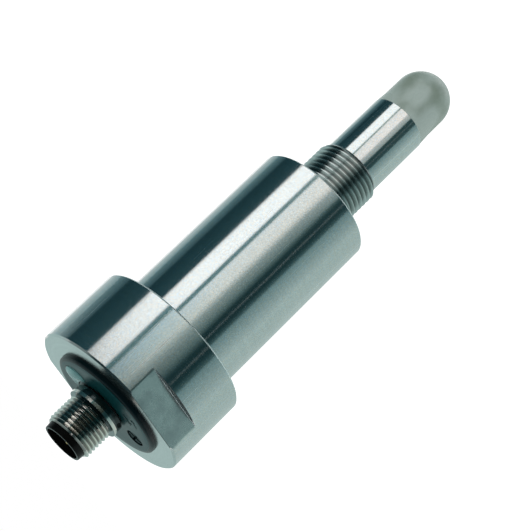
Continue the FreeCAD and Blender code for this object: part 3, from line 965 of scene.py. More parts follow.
class Finish(Enum):
    """Every finish, by the material slot that it fills."""

    stainless_steel = MetalFinish((0.60, 0.635, 0.63), (0.55, 0.585, 0.58), 0.15, 0.012, 0.75,
                                  grain=0.34, grain_size=0.32 * MM, grain_depth=0.003 * MM, scratches=1.0,
                                  grain_tint=0.10)
    faced_steel = MetalFinish((0.60, 0.635, 0.63), (0.55, 0.585, 0.58), 0.17, 0.02, 0.6, grain=0.16)
    milled_steel = MetalFinish((0.58, 0.63, 0.61), (0.38, 0.43, 0.43), 0.28, 0.05, grain=0.16,
                               smudge_size=5 * MM, smudges=1.0)
    # Painted shade: a dark copy of the steel for the shoulder below the wrench flats
    shoulder_steel = MetalFinish((0.16, 0.21, 0.22), (0.10, 0.14, 0.15), 0.24, 0.03)
    # Painted highlight: a much lighter copy of the steel for the fillets under the flats and the chamfers
    # that face down
    corner_steel = MetalFinish((0.86, 0.94, 0.94), (0.80, 0.88, 0.88), 0.55, 0.03)
    # Thread finishes, with painted shade towards the thread roots; the steel one is darker than the body's
    # steel
    thread_steel = MetalFinish((0.50, 0.56, 0.55), (0.45, 0.51, 0.50), 0.22, 0.02, 0.5, grain=0.12,
                               valley=(7.47 * MM, 8.20 * MM), valley_shade=0.50)
    nickel_thread = MetalFinish((0.78, 0.77, 0.72), (0.70, 0.69, 0.64), 0.10, 0.02, grain=0.05,
                                valley=(5.38 * MM, 5.88 * MM), valley_shade=0.38)
    nickel_plate = MetalFinish((0.72, 0.71, 0.66), (0.64, 0.63, 0.58), 0.08, 0.01, grain=0.05,
                               mark_depth=0.0004 * MM)
    # Painted shade: a dark copy of the nickel for the faces round the connector's flange
    nickel_shade = MetalFinish((0.13, 0.17, 0.17), (0.09, 0.12, 0.12), 0.14, 0.02, grain=0.05)
    electrode_brass = MetalFinish((0.72, 0.52, 0.22), (0.62, 0.43, 0.17), 0.28, 0.05)
    # Painted shade: the screw in its pocket is given a nearly black colour
    screw_metal = MetalFinish((0.02, 0.05, 0.055), (0.015, 0.035, 0.04), 0.55, 0.05)
    spring_steel = MetalFinish((0.40, 0.40, 0.41), (0.30, 0.30, 0.31), 0.35, 0.05)
    contact_gold = MetalFinish((0.95, 0.70, 0.30), (0.86, 0.60, 0.24), 0.18, 0.04)
    probe_plastic = MilkyFinish((0.33, 0.415, 0.385), (0.17, 0.23, 0.185), (0.42, 0.50, 0.45), 0.27)
    cap_black_plastic = PlasticFinish((0.001, 0.007, 0.009), (0.002, 0.010, 0.012), 0.24, specular=0.20)
    # Painted reflection: a teal copy of the black plastic, standing in for the surroundings that the level
    # faces mirror
    cap_face_plastic = PlasticFinish((0.002, 0.038, 0.041), (0.003, 0.044, 0.048), 0.31, specular=0.30)
    insert_black_plastic = PlasticFinish((0.002, 0.002, 0.002), (0.003, 0.003, 0.003), 0.22, specular=0.12)
    seal_rubber = PlasticFinish((0.010, 0.010, 0.010), (0.018, 0.018, 0.018), 0.62)
    holder_plastic = PlasticFinish((0.62, 0.60, 0.54), (0.54, 0.52, 0.46), 0.50)
    wire_sleeve = PlasticFinish((0.45, 0.05, 0.03), (0.36, 0.04, 0.03), 0.45)
    chip_resin = PlasticFinish((0.018, 0.018, 0.020), (0.030, 0.030, 0.032), 0.55)
    choke_ferrite = PlasticFinish((0.035, 0.034, 0.034), (0.055, 0.052, 0.050), 0.60)
    capacitor_resin = PlasticFinish((0.62, 0.36, 0.06), (0.54, 0.30, 0.05), 0.45)
    capacitor_ceramic = PlasticFinish((0.44, 0.31, 0.19), (0.37, 0.26, 0.16), 0.55)
    resistor_ceramic = PlasticFinish((0.05, 0.05, 0.06), (0.30, 0.30, 0.30), 0.50, cloud_size=1.2 * MM)
    lamp_body = PlasticFinish((0.78, 0.77, 0.70), (0.70, 0.69, 0.62), 0.35, coat=0.3)
    trimmer_blue = PlasticFinish((0.02, 0.12, 0.42), (0.02, 0.09, 0.34), 0.40)
    lens_clear = ClearFinish((0.22, 0.48, 0.47), (0.16, 0.38, 0.38), 0.10, 0.45)
    board_laminate = LaminateFinish((0.02, 0.17, 0.07), (0.05, 0.28, 0.11), 0.34)

    def material(self, centre: Vector = Vector()) -> bpy.types.Material:
        """Makes the material, once for each axis.

        Args:
            centre: Point on the axis that the finish runs round.

        Returns:
            The material.
        """
        name = self.name + ("_finish" if centre.length < MERGE_DISTANCE else "_offset_finish")
        if name not in bpy.data.materials:
            self.value.dress(Dye(name, centre))
        return bpy.data.materials[name]


# The sensor

def middle_of(node: str) -> Vector:
    """Middle of a node's box, on the level plane."""
    low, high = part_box(node)
    return Vector(((low.x + high.x) / 2, (low.y + high.y) / 2, 0.0))


@dataclass
class Levels:
    """Heights and axes that several pieces share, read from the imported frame."""

    lens_circle: float = 8.95 * MM
    lens_degrees: float = 114.0
    seam: float = field(init=False)
    back_face: float = field(init=False)
    cap_top: float = field(init=False)
    shell_top: float = field(init=False)
    mouth: float = field(init=False)
    plug_axis: Vector = field(init=False)
    trimmer_axis: Vector = field(init=False)
    lens_axis: Vector = field(init=False)

    def __post_init__(self) -> None:
        """Reads the frame."""
        self.seam, self.back_face = (corner.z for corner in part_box("housing"))
        self.cap_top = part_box("end_cap")[1].z
        self.shell_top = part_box("connector_shell")[1].z
        self.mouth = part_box("connector_insert")[1].z
        self.plug_axis = middle_of("connector_shell")
        self.trimmer_axis = middle_of("trimmer_screw")
        self.lens_axis = polar(self.lens_circle, self.lens_degrees)


@dataclass
class Housing:
    """Turned housing: head with wrench flats, body, process thread and probe tube."""

    levels: Levels
    head_radius: float = 20.0 * MM
    head_length: float = 20.0 * MM
    body_radius: float = 15.0 * MM
    edge: float = 0.4 * MM
    edge_rounding: float = 0.06 * MM
    flat_half_width: float = 18.0 * MM
    flat_length: float = 7.4 * MM
    flat_corner: float = 0.16 * MM
    thread_crest: float = 8.33 * MM
    thread_root: float = 7.47 * MM
    thread_pitch: float = 1.337 * MM
    thread_length: float = 13.0 * MM
    tube_radius: float = 7.4 * MM
    tube_bore: float = 6.4 * MM
    body_bore: float = 12.5 * MM
    front_wall: float = 4.0 * MM
    end_bore: float = 14.3 * MM
    end_bore_depth: float = 6.0 * MM
    bore_margin: float = 0.2 * MM
    fillet_shares: tuple[float, ...] = (0.0, 0.08, 0.3, 0.6, 1.0)
    run_out_share: float = 0.9
    # Columns beside each end of a flat: where they stand, how narrow they are and how the edge is eased
    edge_index: int = 11
    edge_columns: int = 2
    edge_turn: float = 0.01
    edge_cut: float = 0.9988
    # Upward part of a face's normal, for chamfers that face down and for level faces
    steep: float = -0.9
    slanting: float = -0.3
    level_normal: float = 0.5
    finishes: tuple[Finish, ...] = (
        Finish.stainless_steel, Finish.milled_steel, Finish.thread_steel, Finish.faced_steel,
        Finish.shoulder_steel, Finish.corner_steel)

    @property
    def shoulder(self) -> float:
        """Height at which the wrench flats end."""
        return self.levels.back_face - self.flat_length

    def thread(self) -> bpy.types.Mesh:
        """Winds the process thread.

        Returns:
            The threaded skin.
        """
        thread = ScrewThread(
            "process_thread", self.thread_crest, self.thread_root, self.thread_pitch, -self.thread_length,
            self.thread_length, self.run_out_share * self.thread_pitch, HOUSING_SEGMENTS)
        return thread.mesh(Finish.thread_steel.material())

    def flat_limit(self, height: float) -> float:
        """Half width between the wrench flats.

        Args:
            height: Height at which it is wanted.

        Returns:
            The half width, endless below the flats.
        """
        above = height - self.shoulder
        below = self.levels.back_face - height
        if above < -MERGE_DISTANCE:
            return math.inf
        if above < self.flat_corner:
            drop = math.sqrt(max(0.0, self.flat_corner**2 - (self.flat_corner - above) ** 2))
            return self.flat_half_width + self.flat_corner - drop
        return self.flat_half_width - max(0.0, self.edge_rounding * 2 - below)

    def head_loop(self, radius: float, height: float, limit: float) -> Loop:
        """Loop round the head, cut by the flats where it is wider than the limit.

        Args:
            radius: Radius of the round stretches.
            height: Height of the loop.
            limit: Half width between the flats, or infinity.

        Returns:
            The loop, with narrow columns round each end of both flats.
        """
        wide = limit if limit < radius else self.flat_half_width
        end_angle = math.acos(min(1.0, wide / max(radius, wide)))
        end_angle = end_angle or math.acos(self.flat_half_width / self.head_radius)
        quarter = HOUSING_SEGMENTS // 4
        first, last = self.edge_index - self.edge_columns, self.edge_index + self.edge_columns
        turn = self.edge_columns * self.edge_turn
        loop: Loop = []
        for i in range(HOUSING_SEGMENTS):
            fold = i % (2 * quarter)
            near = fold if fold <= quarter else 2 * quarter - fold
            if near <= first:
                angle = (end_angle - turn) * near / first
            elif near < last:
                angle = end_angle + self.edge_turn * (near - self.edge_index)
            else:
                start = end_angle + turn
                angle = start + (math.pi / 2 - start) * (near - last) / (quarter - last)
            x, y = radius * math.cos(angle), radius * math.sin(angle)
            if near == self.edge_index and limit < radius:
                x, y = x * self.edge_cut, y * self.edge_cut
            sign_x = 1 if i <= quarter or i > 3 * quarter else -1
            sign_y = 1 if i <= 2 * quarter else -1
            loop.append(Vector((sign_x * min(x, limit), sign_y * y, height)))
        return loop

    def head_loops(self) -> list[Loop]:
        """Works out the loops of the head.

        Returns:
            The loops from its underside to its back face.
        """
        top, radius, edge, rounding = self.levels.back_face, self.head_radius, self.edge, self.edge_rounding
        low, shoulder, corner = top - self.head_length, self.shoulder, self.flat_corner
        round_part = [
            (radius - edge - SUPPORT, low), (radius - edge, low),
            (radius - edge + rounding / 2, low + rounding / 4),
            (radius - rounding / 4, low + edge - rounding / 2),
            (radius, low + edge), (radius, low + edge + SUPPORT),
            (radius, shoulder - rounding - SUPPORT), (radius, shoulder - rounding)]
        loops = [self.head_loop(wide, height, math.inf) for wide, height in round_part]
        limit = self.flat_half_width + corner + SUPPORT
        loops += [self.shoulder_loop(), self.head_loop(radius, shoulder, limit)]
        heights = [shoulder + corner * share for share in self.fillet_shares]
        heights += [shoulder + corner + SUPPORT, top - edge - SUPPORT]
        flat_part = [(radius, height) for height in heights]
        drops = (edge, edge - rounding, rounding * 2 + SUPPORT, rounding * 2, rounding, 0.0)
        flat_part += [(radius - edge + drop, top - drop) for drop in drops]
        loops += [self.head_loop(wide, height, self.flat_limit(height)) for wide, height in flat_part]
        return [*loops, self.rim_loop()]

    def rim_loop(self) -> Loop:
        """Outline of the head's back face."""
        top = self.levels.back_face
        return self.head_loop(self.head_radius - self.edge - SUPPORT, top, self.flat_limit(top) - SUPPORT)

    def shoulder_loop(self) -> Loop:
        """Works out the outer edge of the flats' shoulders.

        Returns:
            A loop round the head, eased a little where the flats are.
        """
        share = 1 - self.edge_rounding / self.head_radius
        limit = self.flat_half_width + 4 * self.edge_rounding
        loop = self.head_loop(self.head_radius, self.shoulder, math.inf)
        return [Vector((p.x * share, p.y * share, p.z)) if abs(p.x) > limit else p for p in loop]

    def body_outline(self) -> Outline:
        """Works out the outside of the body.

        Returns:
            The outline from the head's underside to the root of the thread.
        """
        low = self.levels.back_face - self.head_length
        body = rounded([
            (0.0, low), (self.body_radius, low), (self.body_radius, self.edge),
            (self.body_radius - self.edge, 0.0), (self.thread_root, 0.0), (0.0, 0.0)], self.edge_rounding)
        outside = [point for point in body[1:-1] if point[0] <= self.body_radius + MERGE_DISTANCE]
        return [(self.body_radius + self.edge_rounding + SUPPORT, low), *outside]

    def inner_outline(self) -> Outline:
        """Works out the tube and the bores.

        Returns:
            The outline from the front of the thread, round the tube's end, to the back face.
        """
        top = self.levels.back_face
        seam, ledge = self.levels.seam, top - self.end_bore_depth
        front = (self.thread_root, -self.thread_length)
        inside = rounded([
            front, (self.tube_radius, -self.thread_length), (self.tube_radius, seam), (self.tube_bore, seam),
            (self.tube_bore, self.front_wall), (self.body_bore, self.front_wall), (self.body_bore, ledge),
            (self.end_bore, ledge), (self.end_bore, top), (self.head_radius - 2 * self.edge, top),
        ], self.edge_rounding)
        nearest = min(inside, key=lambda p: abs(p[0] - front[0]) + abs(p[1] - front[1]))
        inside = [front, *inside[inside.index(nearest) + 1:]]
        return [p for p in inside if p[0] < self.end_bore + self.bore_margin]

    def face_finish(self, polygon: bpy.types.MeshPolygon) -> Finish | None:
        """Finish of a face of the turned surface that isn't plain: painted shade on the shoulder, painted
        highlight on fillets and chamfers.

        Args:
            polygon: The face.

        Returns:
            Its finish, or None where it keeps its own.
        """
        rise = polygon.center.z - self.shoulder
        outside = abs(polygon.center.x) - self.flat_half_width
        fillet = 0 < rise < self.flat_corner and outside > MERGE_DISTANCE
        chamfer = self.steep < polygon.normal.z < self.slanting
        if self.finishes[polygon.material_index] is not Finish.stainless_steel:
            return None
        # Painted shade: the shoulder below the flats gets the dark copy of the steel
        if abs(rise) < MERGE_DISTANCE and outside > self.flat_corner:
            return Finish.shoulder_steel
        # Painted highlight: fillets and chamfers that face down get the lighter copy of the steel
        if fillet or chamfer:
            return Finish.corner_steel
        return Finish.faced_steel if abs(polygon.normal.z) > self.level_normal else None

    def build(self) -> list[bpy.types.Object]:
        """Builds the housing as one closed mesh.

        Returns:
            The housing.
        """
        axis = Vector()
        surface = Surface()
        surface.tower(self.head_loops())
        body, inside = self.body_outline(), self.inner_outline()
        low = body[0][1]
        head_rim = self.head_loop(self.head_radius - self.edge - SUPPORT, low, math.inf)
        surface.tower([head_rim, circle(axis, body[0][0], low, HOUSING_SEGMENTS)])
        surface.turn(body, HOUSING_SEGMENTS, axis, False)
        surface.add_mesh(self.thread(), self.finishes.index(Finish.thread_steel))
        surface.turn(inside, HOUSING_SEGMENTS, axis, False)
        surface.tower([circle(axis, inside[-1][0], self.levels.back_face, HOUSING_SEGMENTS), self.rim_loop()])
        self.mark_flats(surface)
        piece = surface.piece("housing_skin", self.finishes)
        dress_faces(piece, self.finishes, self.face_finish)
        return [place(piece, BODY, "housing")]

    def mark_flats(self, surface: Surface) -> None:
        """Gives the faces of both flats the milled finish.

        Args:
            surface: The housing's surface.
        """
        limit = self.flat_half_width - 0.5 * self.edge
        for number, face in enumerate(surface.faces):
            corners = [surface.points[i] for i in face]
            on_flat = all(limit < abs(p.x) <= self.flat_half_width + MERGE_DISTANCE for p in corners)
            if on_flat and all(p.z > self.shoulder for p in corners):
                surface.parts[number] = self.finishes.index(Finish.milled_steel)


@dataclass
class SensingCap:
    """Domed plastic cup at the end of the probe tube."""

    levels: Levels
    radius: float = 7.1 * MM
    step: float = 0.08 * MM
    taper_length: float = 3.5 * MM
    length: float = 15.8 * MM
    wall: float = 2.3 * MM
    spigot_length: float = 8.0 * MM
    tube_radius: float = 7.4 * MM
    tube_bore: float = 6.4 * MM
    dome_steps: int = 28
    edge_rounding: float = 0.08 * MM

    def dome(self, radius: float, centre: float) -> Outline:
        """Quarter circle from the axis to the side, below a centre height."""
        angles = [math.pi / 2 * i / self.dome_steps for i in range(self.dome_steps + 1)]
        return [(radius * math.sin(a), centre - radius * math.cos(a)) for a in angles]

    def build(self) -> list[bpy.types.Object]:
        """Builds the cap as one closed turned mesh.

        Returns:
            The cap.
        """
        seam = self.levels.seam
        centre = seam - self.length + self.radius
        top = seam + self.spigot_length
        bore = self.radius - self.wall
        outline = self.dome(self.radius, centre)
        outline += [
            (self.radius, seam - self.taper_length), (self.tube_radius - self.step, seam),
            (self.tube_bore, seam), (self.tube_bore, top), (bore, top)]
        outline += reversed(self.dome(bore, centre))
        surface = Surface()
        surface.turn(rounded(outline, self.edge_rounding), HOUSING_SEGMENTS, Vector(), False)
        piece = surface.piece("sensing_cap_skin", [Finish.probe_plastic])
        return [place(piece, BODY, "sensing_cap")]


@dataclass
class EndCap:
    """Moulded cap in the head, with the openings for lens, screw and connector."""

    levels: Levels
    rim_radius: float = 14.3 * MM
    rim_rise: float = 0.6 * MM
    top_rise: float = 1.3 * MM
    top_radius: float = 12.0 * MM
    skirt_wall: float = 2.0 * MM
    thickness: float = 2.5 * MM
    lens_radius: float = 3.3 * MM
    relief_radius: float = 7.0 * MM
    lens_seat_depth: float = 1.0 * MM
    lens_rise: float = 0.7 * MM
    stem_inset: float = 1.1 * MM
    pocket_radius: float = 2.3 * MM
    pocket_depth: float = 1.2 * MM
    shaft_hole: float = 1.25 * MM
    plug_hole: float = 5.2 * MM
    skirt_depth: float = 4.8 * MM
    rim_gap: float = 0.02 * MM
    lip: float = 0.14 * MM
    lip_steps: int = 4
    shoulder_steps: int = 10
    loop_points: int = 64
    level_normal: float = 0.97
    # The moulded minus, plus and arrow beside the adjusting screw
    mark_width: float = 0.34 * MM
    mark_height: float = 0.09 * MM
    mark_length: float = 1.7 * MM
    sign_circle: float = 8.8 * MM
    sign_degrees: tuple[float, float] = (-2.0, -14.0)
    arrow_circle: float = 10.9 * MM
    arrow_degrees: tuple[float, float] = (-18.0, -4.0)
    arrow_steps: int = 8
    barb_share: float = 0.7
    barb_degrees: float = 4.0
    mark_taper: float = 0.96

    def lens_loop(self, grow: float, height: float) -> Loop:
        """Outline of the lens, round but for the side cut back along the connector's flange.

        Args:
            grow: Distance by which the outline is larger.
            height: Height of the loop.

        Returns:
            The loop, counter-clockwise.
        """
        lens, plug = self.levels.lens_axis, self.levels.plug_axis
        radius, relief = self.lens_radius + grow, self.relief_radius - grow
        away = lens - plug
        distance, heading = away.length, math.atan2(away.y, away.x)
        reach = (distance**2 - radius**2 + relief**2) / (2 * distance)
        half = math.sqrt(relief**2 - reach**2)
        relief_angle = math.atan2(half, reach)
        lens_angle = math.atan2(half, reach - distance)
        outer = self.loop_points * 3 // 4
        inner = self.loop_points - outer
        loop = [ring_point(radius, heading - lens_angle + 2 * lens_angle * i / outer, height, lens)
                for i in range(outer)]
        loop += [ring_point(relief, heading + relief_angle - 2 * relief_angle * i / inner, height, plug)
                 for i in range(inner)]
        return loop

    def pocket_loop(self, grow: float, height: float) -> Loop:
        """Loop of the adjusting screw's pocket."""
        return circle(self.levels.trimmer_axis, self.pocket_radius + grow, height, POCKET_SEGMENTS)

    def socket_loop(self, grow: float, height: float) -> Loop:
        """Loop of the connector's hole."""
        return circle(self.levels.plug_axis, self.plug_hole + grow, height, PLUG_SEGMENTS)

    def lip_loops(self, loop: Callable[[float, float], Loop]) -> list[Loop]:
        """Works out the rounded lip of an opening.

        Args:
            loop: Outline of the opening, grown by a distance, at a height.

        Returns:
            The loops from the flat top down into the opening.
        """
        top = self.levels.cap_top
        loops = [loop(self.lip + SUPPORT, top), loop(self.lip, top)]
        for step in range(1, self.lip_steps + 1):
            angle = math.pi / 2 * step / self.lip_steps
            loops.append(loop(self.lip * (1 - math.sin(angle)), top - self.lip * (1 - math.cos(angle))))
        return loops

    def side_outline(self, ceiling: float) -> Outline:
        """Works out the side of the cap.

        Args:
            ceiling: Height of the inside of its top.

        Returns:
            The outline from the ceiling, round the skirt and the rounded shoulder, to the top.
        """
        bottom, rim = self.levels.back_face - self.skirt_depth, self.levels.back_face + self.rim_rise
        skirt, outside = self.rim_radius - self.skirt_wall, self.rim_radius - self.rim_gap
        wide, high = self.rim_radius - self.top_radius, self.top_rise - self.rim_rise
        outline = [(skirt, ceiling), (skirt, bottom), (outside, bottom), (outside, rim)]
        for step in range(1, self.shoulder_steps + 1):
            angle = math.pi / 2 * step / self.shoulder_steps
            outline.append((self.top_radius + wide * math.cos(angle), rim + high * math.sin(angle)))
        return [*outline, (self.top_radius - SUPPORT, self.levels.cap_top)]

    def build(self) -> list[bpy.types.Object]:
        """Builds the cap, hollow below, as one closed mesh.

        Returns:
            The cap.
        """
        top, trimmer, inset = self.levels.cap_top, self.levels.trimmer_axis, -self.stem_inset
        ceiling, seat, floor = top - self.thickness, top - self.lens_seat_depth, top - self.pocket_depth
        surface = Surface()
        outline = self.side_outline(ceiling)
        surface.turn(outline, HOUSING_SEGMENTS, Vector(), False)
        shapes = (self.lens_loop, self.pocket_loop, self.socket_loop)
        lens, pocket, socket = (self.lip_loops(shape) for shape in shapes)
        face = circle(Vector(), outline[-1][0], top, HOUSING_SEGMENTS)
        surface.plate(face, [lens[0], pocket[0], socket[0]])
        surface.tower([*lens, self.lens_loop(0.0, seat)])
        surface.plate(self.lens_loop(0.0, seat), [self.lens_loop(inset, seat)])
        surface.tower([self.lens_loop(inset, seat), self.lens_loop(inset, ceiling)])
        shaft = [circle(trimmer, self.shaft_hole, height, POCKET_SEGMENTS) for height in (floor, ceiling)]
        surface.tower([*pocket, self.pocket_loop(0.0, floor), *shaft])
        surface.tower([*socket, self.socket_loop(0.0, ceiling)])
        surface.plate(circle(Vector(), outline[0][0], ceiling, HOUSING_SEGMENTS), [
            self.lens_loop(inset, ceiling), shaft[-1], self.socket_loop(0.0, ceiling)])
        self.moulded_marks(surface)
        finishes = (Finish.cap_black_plastic, Finish.cap_face_plastic)
        piece = surface.piece("end_cap_skin", finishes)
        # Painted reflection: level faces get the teal copy of the black plastic
        dress_faces(piece, finishes, lambda polygon: (
            Finish.cap_face_plastic if polygon.normal.z > self.level_normal else None))
        return [place(piece, BODY, "end_cap")]

    def stroke(self, surface: Surface, path: Sequence[Vector]) -> None:
        """Raises one stroke of a moulded mark along a level path.

        Args:
            surface: The cap's surface.
            path: Points of the stroke's middle line.
        """
        low, high = self.levels.cap_top - self.mark_height, self.levels.cap_top + self.mark_height
        left: Loop = []
        right: Loop = []
        for i, point in enumerate(path):
            ahead = path[min(i + 1, len(path) - 1)] - path[max(i - 1, 0)]
            side = Vector((-ahead.y, ahead.x, 0.0)).normalized() * self.mark_width / 2
            left.append(point + side)
            right.append(point - side)
        foot = [Vector((p.x, p.y, low)) for p in left + right[::-1]]
        surface.prism(foot, raised(foot, self.mark_taper, high))

    def moulded_marks(self, surface: Surface) -> None:
        """Raises a minus, a plus and a curved arrow beside the adjusting screw.

        Args:
            surface: The cap's surface.
        """
        half = self.mark_length / 2
        for degrees, crossed in zip(self.sign_degrees, (False, True)):
            middle = polar(self.sign_circle, degrees)
            along, across = polar(half, degrees + 90), polar(half, degrees)
            self.stroke(surface, [middle - along, middle + along])
            if crossed:
                self.stroke(surface, [middle - across, middle + across])
        start, end = self.arrow_degrees
        arc = [polar(self.arrow_circle, start + (end - start) * i / self.arrow_steps)
               for i in range(self.arrow_steps + 1)]
        self.stroke(surface, arc)
        for side in (-1, 1):
            barb = polar(self.arrow_circle + side * half * self.barb_share, end - self.barb_degrees)
            self.stroke(surface, [arc[-1], barb])


@dataclass
class StatusLens:
    """Milky lens of the status lamp, with its light guide."""

    levels: Levels
    cap: EndCap
    gap: float = 0.04 * MM
    edge: float = 0.34 * MM
    crown: float = 0.36 * MM
    stem_bottom_depth: float = 3.9 * MM
    seat_gap: float = 0.01 * MM
    edge_steps: int = 6
    crown_shares: tuple[float, ...] = (0.96, 0.8, 0.6, 0.4, 0.2, 0.0)

    def build(self) -> list[bpy.types.Object]:
        """Builds the lens as one closed mesh.

        Returns:
            The lens.
        """
        loop, top = self.cap.lens_loop, self.levels.cap_top
        seat = top - self.cap.lens_seat_depth + self.seat_gap
        shoulder = top + self.cap.lens_rise - self.crown - self.edge
        inset = self.cap.stem_inset + self.gap
        bottom = top - self.stem_bottom_depth
        surface = Surface()
        surface.plate(loop(-inset, bottom))
        surface.tower([loop(-inset, bottom), loop(-inset, seat)])
        surface.plate(loop(-self.gap, seat), [loop(-inset, seat)])
        loops = [loop(-self.gap, seat), loop(-self.gap, shoulder - SUPPORT)]
        for step in range(self.edge_steps + 1):
            angle = math.pi / 2 * step / self.edge_steps
            inward = self.gap + self.edge * (1 - math.cos(angle))
            loops.append(loop(-inward, shoulder + self.edge * math.sin(angle)))
        edge_loop = loops[-1]
        for share in self.crown_shares:
            height = edge_loop[0].z + self.crown * (1 - share**2)
            ring = raised(edge_loop, share, height)
            loops.append(ring if share else ring[:1])
        surface.tower(loops)
        piece = surface.piece("lamp_lens_skin", [Finish.lens_clear], SOFT_ANGLE)
        return [place(piece, BODY, "lamp_lens")]


@dataclass
class TrimmerScrew:
    """Cross-slotted adjusting screw in the cap's pocket; it turns on the joint."""

    levels: Levels
    head_radius: float = 2.05 * MM
    head_height: float = 0.8 * MM
    slot_width: float = 0.55 * MM
    slot_depth: float = 0.45 * MM
    shaft_radius: float = 1.2 * MM
    bevel: float = 0.07 * MM
    bevel_share: float = 0.3
    edge_rounding: float = 0.05 * MM
    sunk: float = 0.05 * MM
    degrees: float = -58.5
    arc_points: int = 14

    def quadrant(self, turn: int, inset: float, height: float) -> Loop:
        """Loop of one quarter of the head between the slots.

        Args:
            turn: Which quarter, from 0 to 3.
            inset: Distance by which the loop is smaller.
            height: Height of the loop.

        Returns:
            The loop, counter-clockwise.
        """
        half, radius = self.slot_width / 2 + inset, self.head_radius - inset
        start = math.asin(half / radius)
        corner = Vector((half, half, height))
        loop = [corner] + [
            ring_point(radius, start + (math.pi / 2 - 2 * start) * i / self.arc_points, height)
            for i in range(self.arc_points + 1)
        ]
        spin = Matrix.Rotation(math.radians(self.degrees + 90 * turn), 4, "Z")
        return [self.levels.trimmer_axis + spin @ point for point in loop]

    def build(self) -> list[bpy.types.Object]:
        """Builds the screw with its two slots.

        Returns:
            The screw.
        """
        low, high = (corner.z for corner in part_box("trimmer_screw"))
        base, slot_floor = high - self.head_height, high - self.slot_depth
        ease = self.bevel * self.bevel_share
        surface = Surface()
        outline = rounded([
            (0.0, low), (self.shaft_radius, low), (self.shaft_radius, base), (self.head_radius, base),
            (self.head_radius, slot_floor), (0.0, slot_floor)], self.edge_rounding)
        surface.turn(outline, POCKET_SEGMENTS, self.levels.trimmer_axis, False)
        steps = ((0.0, slot_floor - self.sunk), (0.0, high - self.bevel), (ease, high - ease),
                 (self.bevel, high))
        for turn in range(4):
            loops = [self.quadrant(turn, inset, height) for inset, height in steps]
            surface.plate(loops[0])
            surface.tower(loops)
            surface.plate(loops[-1])
        piece = surface.piece("trimmer_screw_skin", [Finish.screw_metal])
        return [place(piece, ROTOR, "trimmer_screw")]


